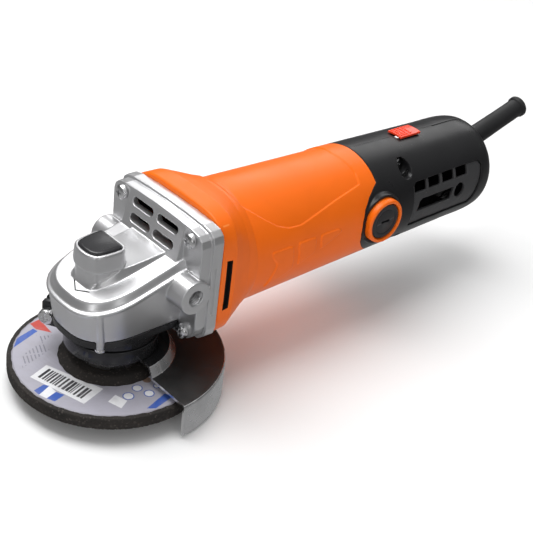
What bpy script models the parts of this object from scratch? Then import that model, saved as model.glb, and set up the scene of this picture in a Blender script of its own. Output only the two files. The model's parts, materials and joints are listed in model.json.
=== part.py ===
"""A small angle grinder with a 100 mm depressed-centre grinding wheel.

Metres, +Z up. The origin is the lower end face of the spindle. The spindle runs along Z, the motor
lies along +Y towards the switch and the cord guard, and +X is the tool's right side. Dimensions are
in millimetres from the point where the spindle axis meets the motor axis, and the empty that every
piece hangs from puts that point AXIS_HEIGHT above the spindle's end face.
"""

import math

import bmesh
import bpy
from mathutils import Matrix, Vector

MM = 0.001
AXIS_HEIGHT = 61.0

# Wheel, guard and what holds them
WHEEL_RADIUS = 50.0
WHEEL_TOP = -47.2
WHEEL_BOTTOM = -53.5
BORE_RADIUS = 8.2
GUARD_RADIUS = 57.0
GUARD_TOP = -42.6
GUARD_BOTTOM = -60.3
GUARD_SHEET = 1.3
GUARD_CUT_Y = 2.0
BAND_RADIUS = 23.2
BAND_LOW = -37.0
BAND_HIGH = -29.6
EAR_ANGLE = math.radians(213)
EAR_RADIUS = 31.2

# Gear head
ROOF_SLOPE = 0.28
ROOF_REAR_Y = 19.0
ROOF_REAR_Z = 12.0
HEAD_BOTTOM = -21.0
FLANGE_FRONT = 22.8
FLANGE_STEP = 28.5
FLANGE_REAR = 34.7
CASE_SCREWS = ((26.9, 25.4), (-26.9, 25.4), (26.9, -25.0), (-26.9, -25.0))
COVER_CORNERS = ((17.7, -18.8), (-17.7, -18.8), (17.7, 18.4), (-17.7, 18.4))
HANDLE_Y = 20.2
HANDLE_FACE = 37.0
HANDLE_BORE = 3.4
LOCK_Y = -10.4
PAD_TOP = 19.9

# Gears, on cones that meet where the axes cross
GEAR_TEETH = 28
PINION_TEETH = 7
HEEL = 18.0
TOE = 13.1
GEAR_TIP = -3.95
GEAR_ROOT = -5.55
PINION_TIP = 5.3
PINION_ROOT = 3.65

# Motor housing and rear cover
HOUSING_FRONT = 35.0
SPLIT_Y = 151.0
BODY_END = 252.0
WALL = 2.5
BRUSH_Y = 152.0
BRUSH_Z = 1.4
BEZEL_RADIUS = 13.5
CAP_RADIUS = 10.0
CAP_FACE = 34.0
COVER_SCREW_Y = 175.5
COVER_SCREW_Z = 21.5
BOOT_TILT = math.radians(16.7)
BOOT_BASE = (0.0, 240.0, 6.2)
BOOT_LENGTH = 65.0
BOOT_RADIUS = 6.1
BOOT_BORE = 4.2
KNOB_REAR = 203.4
GAP = 0.3


def clear_scene():
    for obj in list(bpy.data.objects):
        bpy.data.objects.remove(obj, do_unlink=True)


def new_collection(name, hidden=False):
    made = bpy.data.collections.new(name)
    made.hide_render = hidden
    bpy.context.scene.collection.children.link(made)
    return made


clear_scene()
PARTS = new_collection("angle_grinder")
CUTTERS = new_collection("cutters", hidden=True)
ROOT = bpy.data.objects.new("angle_grinder_origin", None)
ROOT.location = (0, 0, AXIS_HEIGHT * MM)
PARTS.objects.link(ROOT)


def finish(name, colour, roughness, metallic=0.0):
    made = bpy.data.materials.new(name)
    made.use_nodes = True
    shader = made.node_tree.nodes["Principled BSDF"]
    shader.inputs["Base Color"].default_value = (*colour, 1.0)
    shader.inputs["Roughness"].default_value = roughness
    shader.inputs["Metallic"].default_value = metallic
    return made


CAST = finish("cast_aluminium", (0.78, 0.79, 0.80), 0.28, 1.0)
ORANGE = finish("orange_plastic", (0.90, 0.20, 0.02), 0.38)
BLACK = finish("black_plastic", (0.018, 0.018, 0.02), 0.40)
GREY = finish("grey_plastic", (0.05, 0.05, 0.055), 0.5)
RED = finish("red_plastic", (0.70, 0.03, 0.02), 0.35)
STEEL = finish("machined_steel", (0.62, 0.62, 0.63), 0.25, 1.0)
SCREW = finish("plated_screw", (0.80, 0.80, 0.80), 0.2, 1.0)
DARK_STEEL = finish("blackened_steel", (0.03, 0.03, 0.032), 0.3, 0.6)
SPRING_STEEL = finish("spring_steel", (0.5, 0.5, 0.5), 0.3, 1.0)
LAMINATION = finish("lamination_steel", (0.35, 0.35, 0.36), 0.45, 1.0)
COPPER = finish("enamelled_copper", (0.55, 0.20, 0.08), 0.35, 1.0)
BRASS = finish("brass", (0.75, 0.55, 0.22), 0.3, 1.0)
CARBON = finish("carbon", (0.02, 0.02, 0.02), 0.6)
ABRASIVE = finish("bonded_abrasive", (0.04, 0.032, 0.028), 0.9)
RUBBER = finish("black_rubber", (0.02, 0.02, 0.022), 0.6)


def add(name, mesh, material=None, location=(0, 0, 0), rotation=(0, 0, 0)):
    """An object hung from the origin. Without a material it is a cutter."""
    obj = bpy.data.objects.new(name, mesh)
    obj.parent = ROOT
    obj.location = Vector(location) * MM
    obj.rotation_euler = rotation
    if material is None:
        CUTTERS.objects.link(obj)
        obj.hide_render = True
        obj.display_type = "WIRE"
    else:
        PARTS.objects.link(obj)
        mesh.materials.append(material)
    return obj


def mesh_of(name, points, faces):
    mesh = bpy.data.meshes.new(name)
    mesh.from_pydata([Vector(p) * MM for p in points], [], faces)
    outward(mesh)
    return mesh


def outward(mesh):
    shape = bmesh.new()
    shape.from_mesh(mesh)
    bmesh.ops.remove_doubles(shape, verts=shape.verts, dist=0.00001)
    bmesh.ops.triangulate(shape, faces=shape.faces)
    bmesh.ops.recalc_face_normals(shape, faces=shape.faces)
    shape.to_mesh(mesh)
    shape.free()


AXIS_TURN = {"Z": (0, 0, 0), "Y": (-math.pi / 2, 0, 0), "X": (0, math.pi / 2, 0)}


def turned(name, profile, material=None, axis="Z", steps=32, location=(0, 0, 0), rotation=None):
    """A piece turned about its axis. The profile of (radius, height) runs down the outside."""
    mesh = bpy.data.meshes.new(name)
    closed = profile[0][0] > 0
    count = len(profile)
    edges = [(i, (i + 1) % count) for i in range(count if closed else count - 1)]
    mesh.from_pydata([(r * MM, 0, h * MM) for r, h in profile], edges, [])
    turn = AXIS_TURN[axis] if rotation is None else rotation
    obj = add(name, mesh, material, location, turn)
    screw = obj.modifiers.new("turn", "SCREW")
    screw.axis = "Z"
    screw.steps = steps
    screw.render_steps = steps
    screw.use_merge_vertices = True
    screw.merge_threshold = 0.00001
    return obj


def prism(name, outline, low, high, material=None, axis="Z"):
    """A flat outline carried from low to high along an axis. It is (x, y), (x, z) or (y, z)."""
    curve = bpy.data.curves.new(name, "CURVE")
    curve.dimensions = "2D"
    curve.fill_mode = "BOTH"
    curve.extrude = (high - low) / 2 * MM
    spline = curve.splines.new("POLY")
    spline.points.add(len(outline) - 1)
    for point, (u, v) in zip(spline.points, outline):
        point.co = (u * MM, v * MM, 0, 1)
    spline.use_cyclic_u = True
    holder = bpy.data.objects.new(name, curve)
    CUTTERS.objects.link(holder)
    mesh = bpy.data.meshes.new_from_object(holder)
    bpy.data.objects.remove(holder)
    middle = (low + high) / 2 * MM
    to_frame = {
        "Z": Matrix(((1, 0, 0, 0), (0, 1, 0, 0), (0, 0, 1, middle), (0, 0, 0, 1))),
        "Y": Matrix(((1, 0, 0, 0), (0, 0, 1, middle), (0, 1, 0, 0), (0, 0, 0, 1))),
        "X": Matrix(((0, 0, 1, middle), (1, 0, 0, 0), (0, 1, 0, 0), (0, 0, 0, 1))),
    }[axis]
    mesh.transform(to_frame)
    outward(mesh)
    return add(name, mesh, material)


def box(name, low, high, material=None, bevel=0.0):
    mesh = bpy.data.meshes.new(name)
    low = Vector(low) * MM
    high = Vector(high) * MM
    shape = bmesh.new()
    size = high - low
    place = Matrix.Translation((low + high) / 2) @ Matrix.Diagonal((*size, 1))
    bmesh.ops.create_cube(shape, size=1, matrix=place)
    shape.to_mesh(mesh)
    shape.free()
    obj = add(name, mesh, material)
    if bevel:
        soften(obj, bevel)
    return obj


def soften(obj, width, segments=2):
    bevel = obj.modifiers.new("soften", "BEVEL")
    bevel.width = width * MM
    bevel.segments = segments
    bevel.limit_method = "ANGLE"
    bevel.angle_limit = math.radians(40)


def rod(name, radius, start, end, material=None, sides=24):
    """A round bar between two points."""
    start = Vector(start) * MM
    end = Vector(end) * MM
    along = end - start
    turn = Vector((0, 0, 1)).rotation_difference(along).to_matrix().to_4x4()
    place = Matrix.Translation((start + end) / 2) @ turn
    mesh = bpy.data.meshes.new(name)
    shape = bmesh.new()
    bmesh.ops.create_cone(
        shape,
        cap_ends=True,
        segments=sides,
        radius1=radius * MM,
        radius2=radius * MM,
        depth=along.length,
        matrix=place,
    )
    shape.to_mesh(mesh)
    shape.free()
    return add(name, mesh, material)


def tube(name, points, radius, material, cyclic=False, location=(0, 0, 0)):
    """A wire or tube that follows points."""
    curve = bpy.data.curves.new(name, "CURVE")
    curve.dimensions = "3D"
    curve.bevel_depth = radius * MM
    curve.bevel_resolution = 1
    curve.use_fill_caps = not cyclic
    spline = curve.splines.new("POLY")
    spline.points.add(len(points) - 1)
    for point, place in zip(spline.points, points):
        point.co = (*(Vector(place) * MM), 1)
    spline.use_cyclic_u = cyclic
    holder = bpy.data.objects.new(name, curve)
    CUTTERS.objects.link(holder)
    mesh = bpy.data.meshes.new_from_object(holder)
    bpy.data.objects.remove(holder)
    outward(mesh)
    return add(name, mesh, material, location)


def loft(name, rings, material=None, ends=True, location=(0, 0, 0)):
    """A skin through rings of equal count, capped at both ends or closed back on itself."""
    count = len(rings[0])
    points = [p for ring in rings for p in ring]
    faces = []
    total = len(rings)
    for i in range(total - 1 if ends else total):
        here = i * count
        there = (i + 1) % total * count
        for k in range(count):
            n = (k + 1) % count
            faces.append((here + k, here + n, there + n, there + k))
    if ends:
        faces.append(tuple(range(count)))
        faces.append(tuple(range((total - 1) * count, total * count)))
    return add(name, mesh_of(name, points, faces), material, location)


def combine(target, others, operation):
    for other in others:
        step = target.modifiers.new(other.name, "BOOLEAN")
        step.operation = operation
        step.solver = "EXACT"
        step.object = other
    return target


def cut(target, *others):
    return combine(target, others, "DIFFERENCE")


def join(target, *others):
    return combine(target, others, "UNION")


def keep(target, *others):
    return combine(target, others, "INTERSECT")


def mirrored(half):
    """A closed outline from its +X half, listed from the top round to the bottom."""
    return half + [(-x, v) for x, v in reversed(half) if x > 0]


def stadium(u0, u1, v0, v1, steps=3):
    """A slot with round ends in u."""
    radius = (v1 - v0) / 2
    middle = (v0 + v1) / 2
    outline = []
    for centre, first in ((u1 - radius, -90), (u0 + radius, 90)):
        for k in range(steps + 1):
            a = math.radians(first + 180 * k / steps)
            outline.append((centre + radius * math.cos(a), middle + radius * math.sin(a)))
    return outline


def roof(y):
    return ROOF_REAR_Z - ROOF_SLOPE * (ROOF_REAR_Y - y)


def head_outline(half_width, front, back=25.4, count=16):
    """The head seen from above: straight sides and a full, squarish round nose."""
    outline = [(half_width, back), (half_width, 9.0)]
    for k in range(count + 1):
        a = math.pi * k / count
        x = half_width * math.copysign(abs(math.cos(a)) ** (2 / 2.7), math.cos(a))
        outline.append((x, -front * math.sin(a) ** (2 / 2.7)))
    outline += [(-half_width, 9.0), (-half_width, back)]
    return outline


def head_ring(half_width, front, drop=None, level=None):
    return [
        (x, y, level if level is not None else roof(y) - drop)
        for x, y in head_outline(half_width, front)
    ]


def flange_outline(grow):
    half = [(0, 31.6), (14, 31.3), (26, 30.6), (31.5, 29.5), (34, 27.3), (35, 24.0)]
    half += [(35, -20.5), (33.6, -25.0), (29.6, -28.4), (24, -29.2)]
    return mirrored([(x + grow * (x > 0), z + math.copysign(grow, z)) for x, z in half])


def pad_outline(grow=0.0):
    """The lock button seen from above: wider at the back, round at the front."""
    half = [(6.6, -2.0 + grow), (8.2 + grow, -3.4), (7.9 + grow, -8.0)]
    half += [(7.4 + grow, -12.6), (6.4 + grow, -15.4 - grow / 2), (4.0, -17.0 - grow)]
    half += [(0, -17.6 - grow)]
    return mirrored(half)


def sloped_ring(outline, level, slope):
    return [(x, y, level + slope * (y + 9.6)) for x, y in outline]


def gear_case():
    case = loft(
        "gear_case",
        [
            head_ring(23.0, 27.6, level=HEAD_BOTTOM),
            head_ring(25.7, 29.2, drop=5.6),
            head_ring(26.6, 30.2, drop=4.9),
            head_ring(26.4, 30.0, drop=4.0),
            head_ring(25.2, 28.8, drop=3.4),
            head_ring(24.2, 27.8, drop=0.5),
            head_ring(23.6, 27.2, drop=0.0),
        ],
        CAST,
    )
    front = prism("flange_front", flange_outline(0), FLANGE_FRONT, FLANGE_STEP + 1, axis="Y")
    rear = prism("flange_rear", flange_outline(1.3), FLANGE_STEP, FLANGE_REAR, axis="Y")
    wedge = prism(
        "vent_wall",
        [(22.9, 30.4), (25.0, 30.4), (25.0, 8.0), (18.2, 8.0), (18.8, 12.5)],
        -21.8,
        21.8,
        axis="X",
    )
    hump = loft("lock_hump", hump_sections())
    collar = loft(
        "lock_collar",
        [
            sloped_ring(pad_outline(2.7), 5.0, 0.0),
            sloped_ring(pad_outline(1.9), 18.4, 0.05),
            sloped_ring(pad_outline(1.3), 19.0, 0.05),
        ],
    )
    boss = rod("handle_boss", 8.6, (-HANDLE_FACE, HANDLE_Y, -0.3), (HANDLE_FACE, HANDLE_Y, -0.3))
    join(case, front, rear, wedge, hump, collar, boss)
    for side in (1, -1):
        rib = rod(f"corner_rib{side}", 1.9, (side * 18.4, -19.3, -20.7), (side * 19.6, -21.3, -4.0))
        join(case, rib)
    hollow_case(case)


def hump_sections():
    """The saddle that rises from the vents to the lock button, as slices across the head."""
    slices = []
    for y, foot, shoulder, shoulder_z, ridge_z in (
        (24.0, 14.2, 13.2, 12.9, 13.0),
        (12.0, 14.2, 12.6, 12.4, 14.2),
        (0.0, 14.0, 11.8, 13.4, 17.2),
        (-8.0, 13.6, 11.4, 11.6, 14.6),
        (-14.0, 12.6, 10.4, 9.6, 11.8),
        (-18.0, 10.0, 8.0, 7.4, 9.4),
        (-20.6, 5.5, 4.0, 2.2, 3.0),
    ):
        low = roof(y) - 2.0
        half = [(0, ridge_z), (shoulder * 0.55, (ridge_z * 2 + shoulder_z) / 3)]
        half += [(shoulder, shoulder_z - 0.6), (foot, roof(y) - 0.2), (foot, low)]
        slices.append([(x, y, z) for x, z in mirrored(half)])
    return slices


def hollow_case(case):
    chamber = turned("gear_chamber", [(0, -0.8), (19.6, -0.8), (20.5, -1.8), (20.5, -23), (0, -23)])
    bush_bore = rod("bush_bore", 6.25, (0, 0, -3), (0, 0, 10.6), sides=18)
    pinion_bore = rod("pinion_bore", 7.0, (0, 10.0, 0), (0, 26.0, 0), sides=14)
    seat = rod("bearing_seat", 15.3, (0, 24.6, 0), (0, 37.0, 0), sides=24)
    air = box("air_chamber", (-20, 24.9, 14.0), (20, 37.0, 28.2))
    cut(air, rod("seat_wall", 17.2, (0, 24.0, 0), (0, 38.0, 0), sides=18))
    cut(case, chamber, bush_bore, pinion_bore, seat, air)
    for side in (1, -1):
        for low, inner, outer in ((23.2, 1.5, 17.6), (15.2, 1.2, 17.0)):
            ends = sorted((side * inner, side * outer))
            outline = stadium(*ends, low, low + 4.4)
            cut(case, prism(f"vent_slot{side}_{low:.0f}", outline, 15.0, 25.3, axis="Y"))
        start = (side * 23.5, HANDLE_Y, -0.3)
        end = (side * (HANDLE_FACE + 3), HANDLE_Y, -0.3)
        cut(case, rod(f"handle_thread{side}", HANDLE_BORE, start, end, sides=14))
        low = (min(side * 35.4, side * 40), 31.0, -14)
        high = (max(side * 35.4, side * 40), 32.0, 12)
        cut(case, box(f"side_slit{side}", low, high))
    for x, z in CASE_SCREWS:
        cut(case, rod(f"case_hole{x}{z}", 2.5, (x, 20, z), (x, 37, z), sides=10))
    for x, y in COVER_CORNERS:
        cut(case, rod(f"cover_thread{x}{y}", 1.6, (x, y, -26), (x, y, -13.3), sides=8))
    pocket = loft(
        "lock_pocket",
        [sloped_ring(pad_outline(0.35), 8.2, 0.0), sloped_ring(pad_outline(0.35), 25.0, 0.0)],
    )
    spring_bore = rod("spring_bore", 3.9, (0, LOCK_Y, 2.8), (0, LOCK_Y, 12), sides=16)
    pin_bore = rod("pin_bore", 1.9, (0, LOCK_Y, -3), (0, LOCK_Y, 5), sides=10)
    cut(case, pocket, spring_bore, pin_bore)


def spindle_lock():
    place = (0, LOCK_Y, 0)
    rings = [
        sloped_ring(pad_outline(), 13.7, 0.0),
        sloped_ring(pad_outline(), PAD_TOP - 0.7, 0.06),
        sloped_ring(pad_outline(-0.7), PAD_TOP, 0.06),
    ]
    rings = [[(x, y - LOCK_Y, z) for x, y, z in ring] for ring in rings]
    loft("lock_button", rings, BLACK, location=place)
    pin = [(0, 13.4), (3.3, 13.4), (3.3, 12.6), (1.6, 12.5), (1.6, -2.8), (1.2, -3.2), (0, -3.2)]
    turned("lock_pin", pin, STEEL, steps=14, location=place)
    turns = 4.5
    count = 36
    helix = []
    for k in range(count + 1):
        a = 2 * math.pi * turns * k / count
        helix.append((2.9 * math.cos(a), 2.9 * math.sin(a), 3.6 + 8.3 * k / count))
    tube("lock_spring", helix, 0.35, SPRING_STEEL, location=place)


def toothed_ring(teeth, shape, at):
    """A ring of straight teeth: shape is (half angle, level) from root to tip and at() places it."""
    ring = []
    pitch = 2 * math.pi / teeth
    for k in range(teeth):
        for half, level in shape:
            ring.append(at(k * pitch + half, level))
    return ring


def bevel_gear():
    root = (math.radians(2.9), GEAR_ROOT)
    tip = (math.radians(1.4), GEAR_TIP)
    shape = [(-root[0], root[1]), (-tip[0], tip[1]), tip, root]

    def flat(radius, level):
        return toothed_ring(
            GEAR_TEETH, shape, lambda a, _: (radius * math.cos(a), radius * math.sin(a), level)
        )

    def toothed(radius):
        scale = radius / HEEL
        return toothed_ring(
            GEAR_TEETH,
            shape,
            lambda a, level: (radius * math.cos(a), radius * math.sin(a), level * scale),
        )

    rings = [flat(18.2, -10.5), toothed(18.2), toothed(TOE), flat(12.9, -10.5)]
    gear = loft("bevel_gear", rings, STEEL, ends=False)
    hub = [(15.5, -7.7), (15.5, -10.0), (9.5, -11.8), (9.5, -20.4), (6.2, -20.4), (6.2, -7.7)]
    join(gear, turned("gear_hub", hub, steps=28))
    for x in (10.4, -10.4):
        cut(gear, rod(f"lock_hole{x}", 2.0, (0, x, -14), (0, x, -6), sides=10))


def pinion():
    root = (math.radians(15.0), PINION_ROOT)
    tip = (math.radians(4.2), PINION_TIP)
    shape = [(-root[0], root[1]), (-tip[0], tip[1]), tip, root]
    half_pitch = math.pi / PINION_TEETH

    def placed(y, radius):
        return toothed_ring(
            PINION_TEETH,
            shape,
            lambda a, level: (
                (radius or level * y / HEEL) * math.sin(a + half_pitch),
                y,
                -(radius or level * y / HEEL) * math.cos(a + half_pitch),
            ),
        )

    rings = [placed(12.6, 1.9), placed(TOE, None), placed(HEEL, None), placed(19.4, 4.3)]
    rings += [placed(24.4, 4.3)]
    loft("pinion", rings, STEEL)


def bearing(name, inner, outer, width, start, axis, steps):
    """The two rings of a ball bearing, which turn against each other."""
    step = (outer - inner) * 0.3
    end = start + width
    for part, low, high in (("inner", inner, inner + step), ("outer", outer - step, outer)):
        profile = [(high, end), (high, start), (low, start), (low, end)]
        turned(f"{name}_{part}_ring", profile, STEEL, axis=axis, steps=steps)


def spindle_group():
    turned(
        "spindle",
        [
            (0, 9.2), (3.4, 9.2), (3.9, 8.7), (3.9, 0.8), (5.9, 0.8), (5.9, -32.4),
            (7.6, -32.4), (7.6, -38.2), (4.9, -38.2), (4.9, -60.2), (4.2, -61.0), (0, -61.0),
        ],
        STEEL,
        steps=24,
    )
    turned("spindle_bush", [(5.8, 9.6), (5.8, 1.2), (4.2, 1.2), (4.2, 9.6)], BRASS, steps=16)
    bearing("spindle_bearing", 6.2, 16.0, 9.8, -31.9, "Z", 24)
    turned(
        "inner_flange",
        [
            (13, -38.6), (16.6, -39.6), (17, -40.4), (17, -44.0), (7.8, -44.0), (7.8, -46.6),
            (5.2, -46.6), (5.2, -38.6),
        ],
        STEEL,
        steps=24,
    )
    turned(
        "grinding_wheel",
        [
            (WHEEL_RADIUS, WHEEL_TOP), (WHEEL_RADIUS, WHEEL_BOTTOM), (24.5, WHEEL_BOTTOM),
            (20.5, -50.0), (BORE_RADIUS, -50.0), (BORE_RADIUS, -44.3), (21.5, -44.3),
            (25.0, WHEEL_TOP),
        ],
        ABRASIVE,
        steps=48,
    )
    nut = turned(
        "lock_nut",
        [
            (7.8, -47.0), (7.8, -50.3), (16, -50.3), (16, -53.6), (15.4, -54.2), (10.4, -54.2),
            (10.4, -56.4), (9.8, -57.0), (5.2, -57.0), (5.2, -47.0),
        ],
        STEEL,
        steps=24,
    )
    for k in range(4):
        a = math.radians(45 + 90 * k)
        x = 13.0 * math.cos(a)
        y = 13.0 * math.sin(a)
        cut(nut, rod(f"spanner_hole{k}", 1.6, (x, y, -58), (x, y, -51.8), sides=6))


def bearing_cover():
    outline = head_outline(23.0, 27.6, back=22.3)
    cover = prism("bearing_cover", outline, -25.2, HEAD_BOTTOM - GAP, DARK_STEEL)
    join(cover, rod("cover_shoulder", 22.4, (0, 0, BAND_HIGH + GAP), (0, 0, -24.0), sides=36))
    join(cover, rod("cover_neck", 21.0, (0, 0, -36.4), (0, 0, -24.5), sides=32))
    cut(cover, rod("bearing_pocket", 16.3, (0, 0, -32.2), (0, 0, -20), sides=28))
    cut(cover, rod("cover_mouth", 9.5, (0, 0, -38), (0, 0, -30), sides=20))
    for index, (x, y) in enumerate(COVER_CORNERS, 1):
        cut(cover, rod(f"cover_hole{index}", 1.7, (x, y, -27), (x, y, -20), sides=8))
        profile = [(0, -14), (1.25, -14), (1.25, -25.5), (2.2, -25.5), (2.2, -26.6), (1.6, -27.3)]
        profile += [(0, -27.3)]
        turned(f"cover_plate_screw_{index}", profile, SCREW, steps=10, location=(x, y, 0))


def guard():
    band = turned(
        "guard_clamp_band",
        [(BAND_RADIUS, BAND_HIGH), (BAND_RADIUS, BAND_LOW), (21.4, BAND_LOW), (21.4, BAND_HIGH)],
        DARK_STEEL,
        steps=48,
    )
    out = Vector((math.cos(EAR_ANGLE), math.sin(EAR_ANGLE), 0))
    across = Vector((-out.y, out.x, 0))
    ear = [(22.2, -36.6), (34.9, -36.6), (34.9, -22.6), (28.9, -22.6), (28.9, BAND_HIGH)]
    ear += [(22.2, BAND_HIGH)]
    for index, (near, far) in enumerate(((1.4, 3.6), (-3.6, -1.4))):
        rings = [
            [tuple(out * r + across * side + Vector((0, 0, z))) for r, z in ear]
            for side in (near, far)
        ]
        join(band, loft(f"clamp_ear{index}", rings))
    middle = out * EAR_RADIUS + Vector((0, 0, -29.4))
    hole_ends = (middle - across * 9, middle + across * 9)
    cut(band, rod("ear_hole", 2.8, *hole_ends, sides=10))
    slit = [
        [tuple(out * r + across * side + Vector((0, 0, z))) for r, z in
         ((20, -38), (26, -38), (26, -26), (20, -26))]
        for side in (-1.4, 1.4)
    ]
    cut(band, loft("clamp_slit", slit))
    turn = (math.pi / 2, 0, EAR_ANGLE)
    screw = [(0, 8.4), (3.4, 8.4), (4.0, 7.6), (4.0, 4.0), (2.4, 4.0), (2.4, -9.4), (0, -9.4)]
    turned("guard_clamp_screw", screw, SCREW, steps=14, location=middle, rotation=turn)
    hexagon = [(4.4 * math.cos(k * math.pi / 3), 4.4 * math.sin(k * math.pi / 3)) for k in range(6)]
    nut_rings = []
    for side in (-4.0, -7.4):
        ring = [out * u + Vector((0, 0, v)) + across * -side + middle for u, v in hexagon]
        nut_rings.append([tuple(p) for p in ring])
    nut = loft("guard_clamp_nut", nut_rings, SCREW)
    cut(nut, rod("nut_bore", 2.7, *hole_ends, sides=10))
    top = GUARD_TOP
    sheet = GUARD_SHEET
    profile = [
        (21.4, -37.4), (28.8, -37.4), (31.8, top), (55.6, top), (56.6, top - 0.4),
        (GUARD_RADIUS, top - 1.4), (GUARD_RADIUS, GUARD_BOTTOM),
        (GUARD_RADIUS - sheet, GUARD_BOTTOM), (GUARD_RADIUS - sheet, top - 1.8),
        (55.2, top - sheet), (31.0, top - sheet), (28.1, -37.4 - sheet), (21.4, -37.4 - sheet),
    ]
    shield = turned("wheel_guard", profile, DARK_STEEL, steps=52)
    cut(shield, box("guard_opening", (-70, -70, -70), (70, GUARD_CUT_Y, -30)))


def case_screws():
    for index, (x, z) in enumerate(CASE_SCREWS, 1):
        profile = [(0, 46), (2.1, 46), (2.1, 22.5), (3.9, 22.5), (3.9, 21.2), (2.8, 20.0)]
        profile += [(0, 19.6)]
        screw = turned(
            f"case_screw_{index}", profile, SCREW, axis="Y", steps=14, location=(x, 0, z)
        )
        for turn, size in enumerate(((2.3, 0.45), (0.45, 2.3))):
            low = (x - size[0], 18, z - size[1])
            high = (x + size[0], 20.9, z + size[1])
            cut(screw, box(f"drive{index}{turn}", low, high))


def body_radius(y):
    """The round body tapers gently towards the rear."""
    return 33.0 - (y - 60.0) * 3.8 / 160.0


def rounded_ring(y, half_width, top, bottom, power, count=36):
    ring = []
    for k in range(count):
        a = 2 * math.pi * k / count
        c = math.cos(a)
        s = math.sin(a)
        x = half_width * math.copysign(abs(c) ** (2 / power), c)
        z = (top if s > 0 else bottom) * math.copysign(abs(s) ** (2 / power), s)
        ring.append((x, y, z))
    return ring


def tongue(grow):
    """The rear cover's edge seen from the side, with the lobe that reaches round the brush cap."""
    edge = [(SPLIT_Y, 20.5), (148.0, 19.0), (143.0, 15.4), (138.8, 10.4), (137.0, 4.0)]
    edge += [(137.0, -3.0), (138.8, -9.2), (142.6, -14.0), (147.4, -18.2), (SPLIT_Y, -20.2)]
    outline = [(y - grow, z + math.copysign(grow, z)) for y, z in edge]
    return [(SPLIT_Y - grow, 50)] + outline + [(SPLIT_Y - grow, -50), (270, -50), (270, 50)]


def motor_housing():
    front = HOUSING_FRONT
    outer = [
        rounded_ring(front, 35.6, 34.6, 33.6, 4.6),
        rounded_ring(front + 1.0, 36.2, 35.4, 34.2, 4.4),
        rounded_ring(44.0, 36.2, 35.8, 34.4, 4.0),
        rounded_ring(49.0, 35.0, 35.0, 33.9, 3.2),
        rounded_ring(55.0, 33.7, 33.8, 33.4, 2.5),
        rounded_ring(61.0, 33.1, 33.1, 33.1, 2.0),
        rounded_ring(100.0, *[body_radius(100.0)] * 3, 2.0),
        rounded_ring(152.0, *[body_radius(152.0)] * 3, 2.0),
    ]
    inner = [
        rounded_ring(y, *[radius] * 3, 2.0)
        for y, radius in ((152.0, body_radius(152.0) - WALL), (61.0, 30.6), (front, 29.6))
    ]
    housing = loft("motor_housing", outer + inner, ORANGE, ends=False)
    cut(housing, prism("cover_side", tongue(0.15), -50, 50, axis="X"))
    for side in (1, -1):
        low = (min(side * 26, side * 40), 38.0, -13.5)
        high = (max(side * 26, side * 40), 41.5, 13.5)
        cut(housing, box(f"outlet{side}", low, high))
    for x, z in CASE_SCREWS:
        cut(housing, rod(f"housing_hole{x}{z}", 2.4, (x, 33, z), (x, 47.5, z), sides=8))


def rear_shell(name, out, thick):
    """A closed profile of the rear shell, its outside moved in by out."""
    profile_out = [
        (body_radius(136) - out, 136), (body_radius(220) - out, 220), (28.9 - out, 234),
        (27.9 - out, 241), (25.6 - out, 246), (21.0 - out, 249.6), (14.0, BODY_END - 0.8 - out),
        (0, BODY_END - out),
    ]
    profile_in = [
        (0, 248.8), (14.0, 248.2), (20.0, 246.6), (24.4, 241.6),
        (26.4, 233.0), (body_radius(220) - thick, 220), (body_radius(136) - thick, 136),
    ]
    profile = list(reversed(profile_out + profile_in))
    return turned(name, profile, axis="Y", steps=40)


def rear_envelope(name):
    """The solid inside the rear shell's outer face, which trims what is added within it."""
    profile = [(0, 190), (body_radius(190) - 0.3, 190), (body_radius(150) - 0.3, 150), (0, 150)]
    return turned(name, profile, axis="Y", steps=36)


def rear_covers():
    for side, word in ((1, "right"), (-1, "left")):
        rear_cover(side, word)
    for index, z in enumerate((COVER_SCREW_Z, -COVER_SCREW_Z)):
        word = ("upper", "lower")[index]
        profile = [(0, 15.4), (3.2, 15.4), (3.7, 14.8), (3.7, 13.0), (1.7, 13.0), (1.7, -11.0)]
        profile += [(0, -11.0)]
        screw = turned(
            f"cover_screw_{word}", profile, SCREW, axis="X", steps=12,
            location=(0, COVER_SCREW_Y, z),
        )
        for turn, (dy, dz) in enumerate(((2.2, 0.4), (0.4, 2.2))):
            low = (14.4, COVER_SCREW_Y - dy, z - dz)
            high = (17, COVER_SCREW_Y + dy, z + dz)
            cut(screw, box(f"cover_drive{word}{turn}", low, high))


def span(side, near, far):
    return sorted((side * near, side * far))


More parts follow.
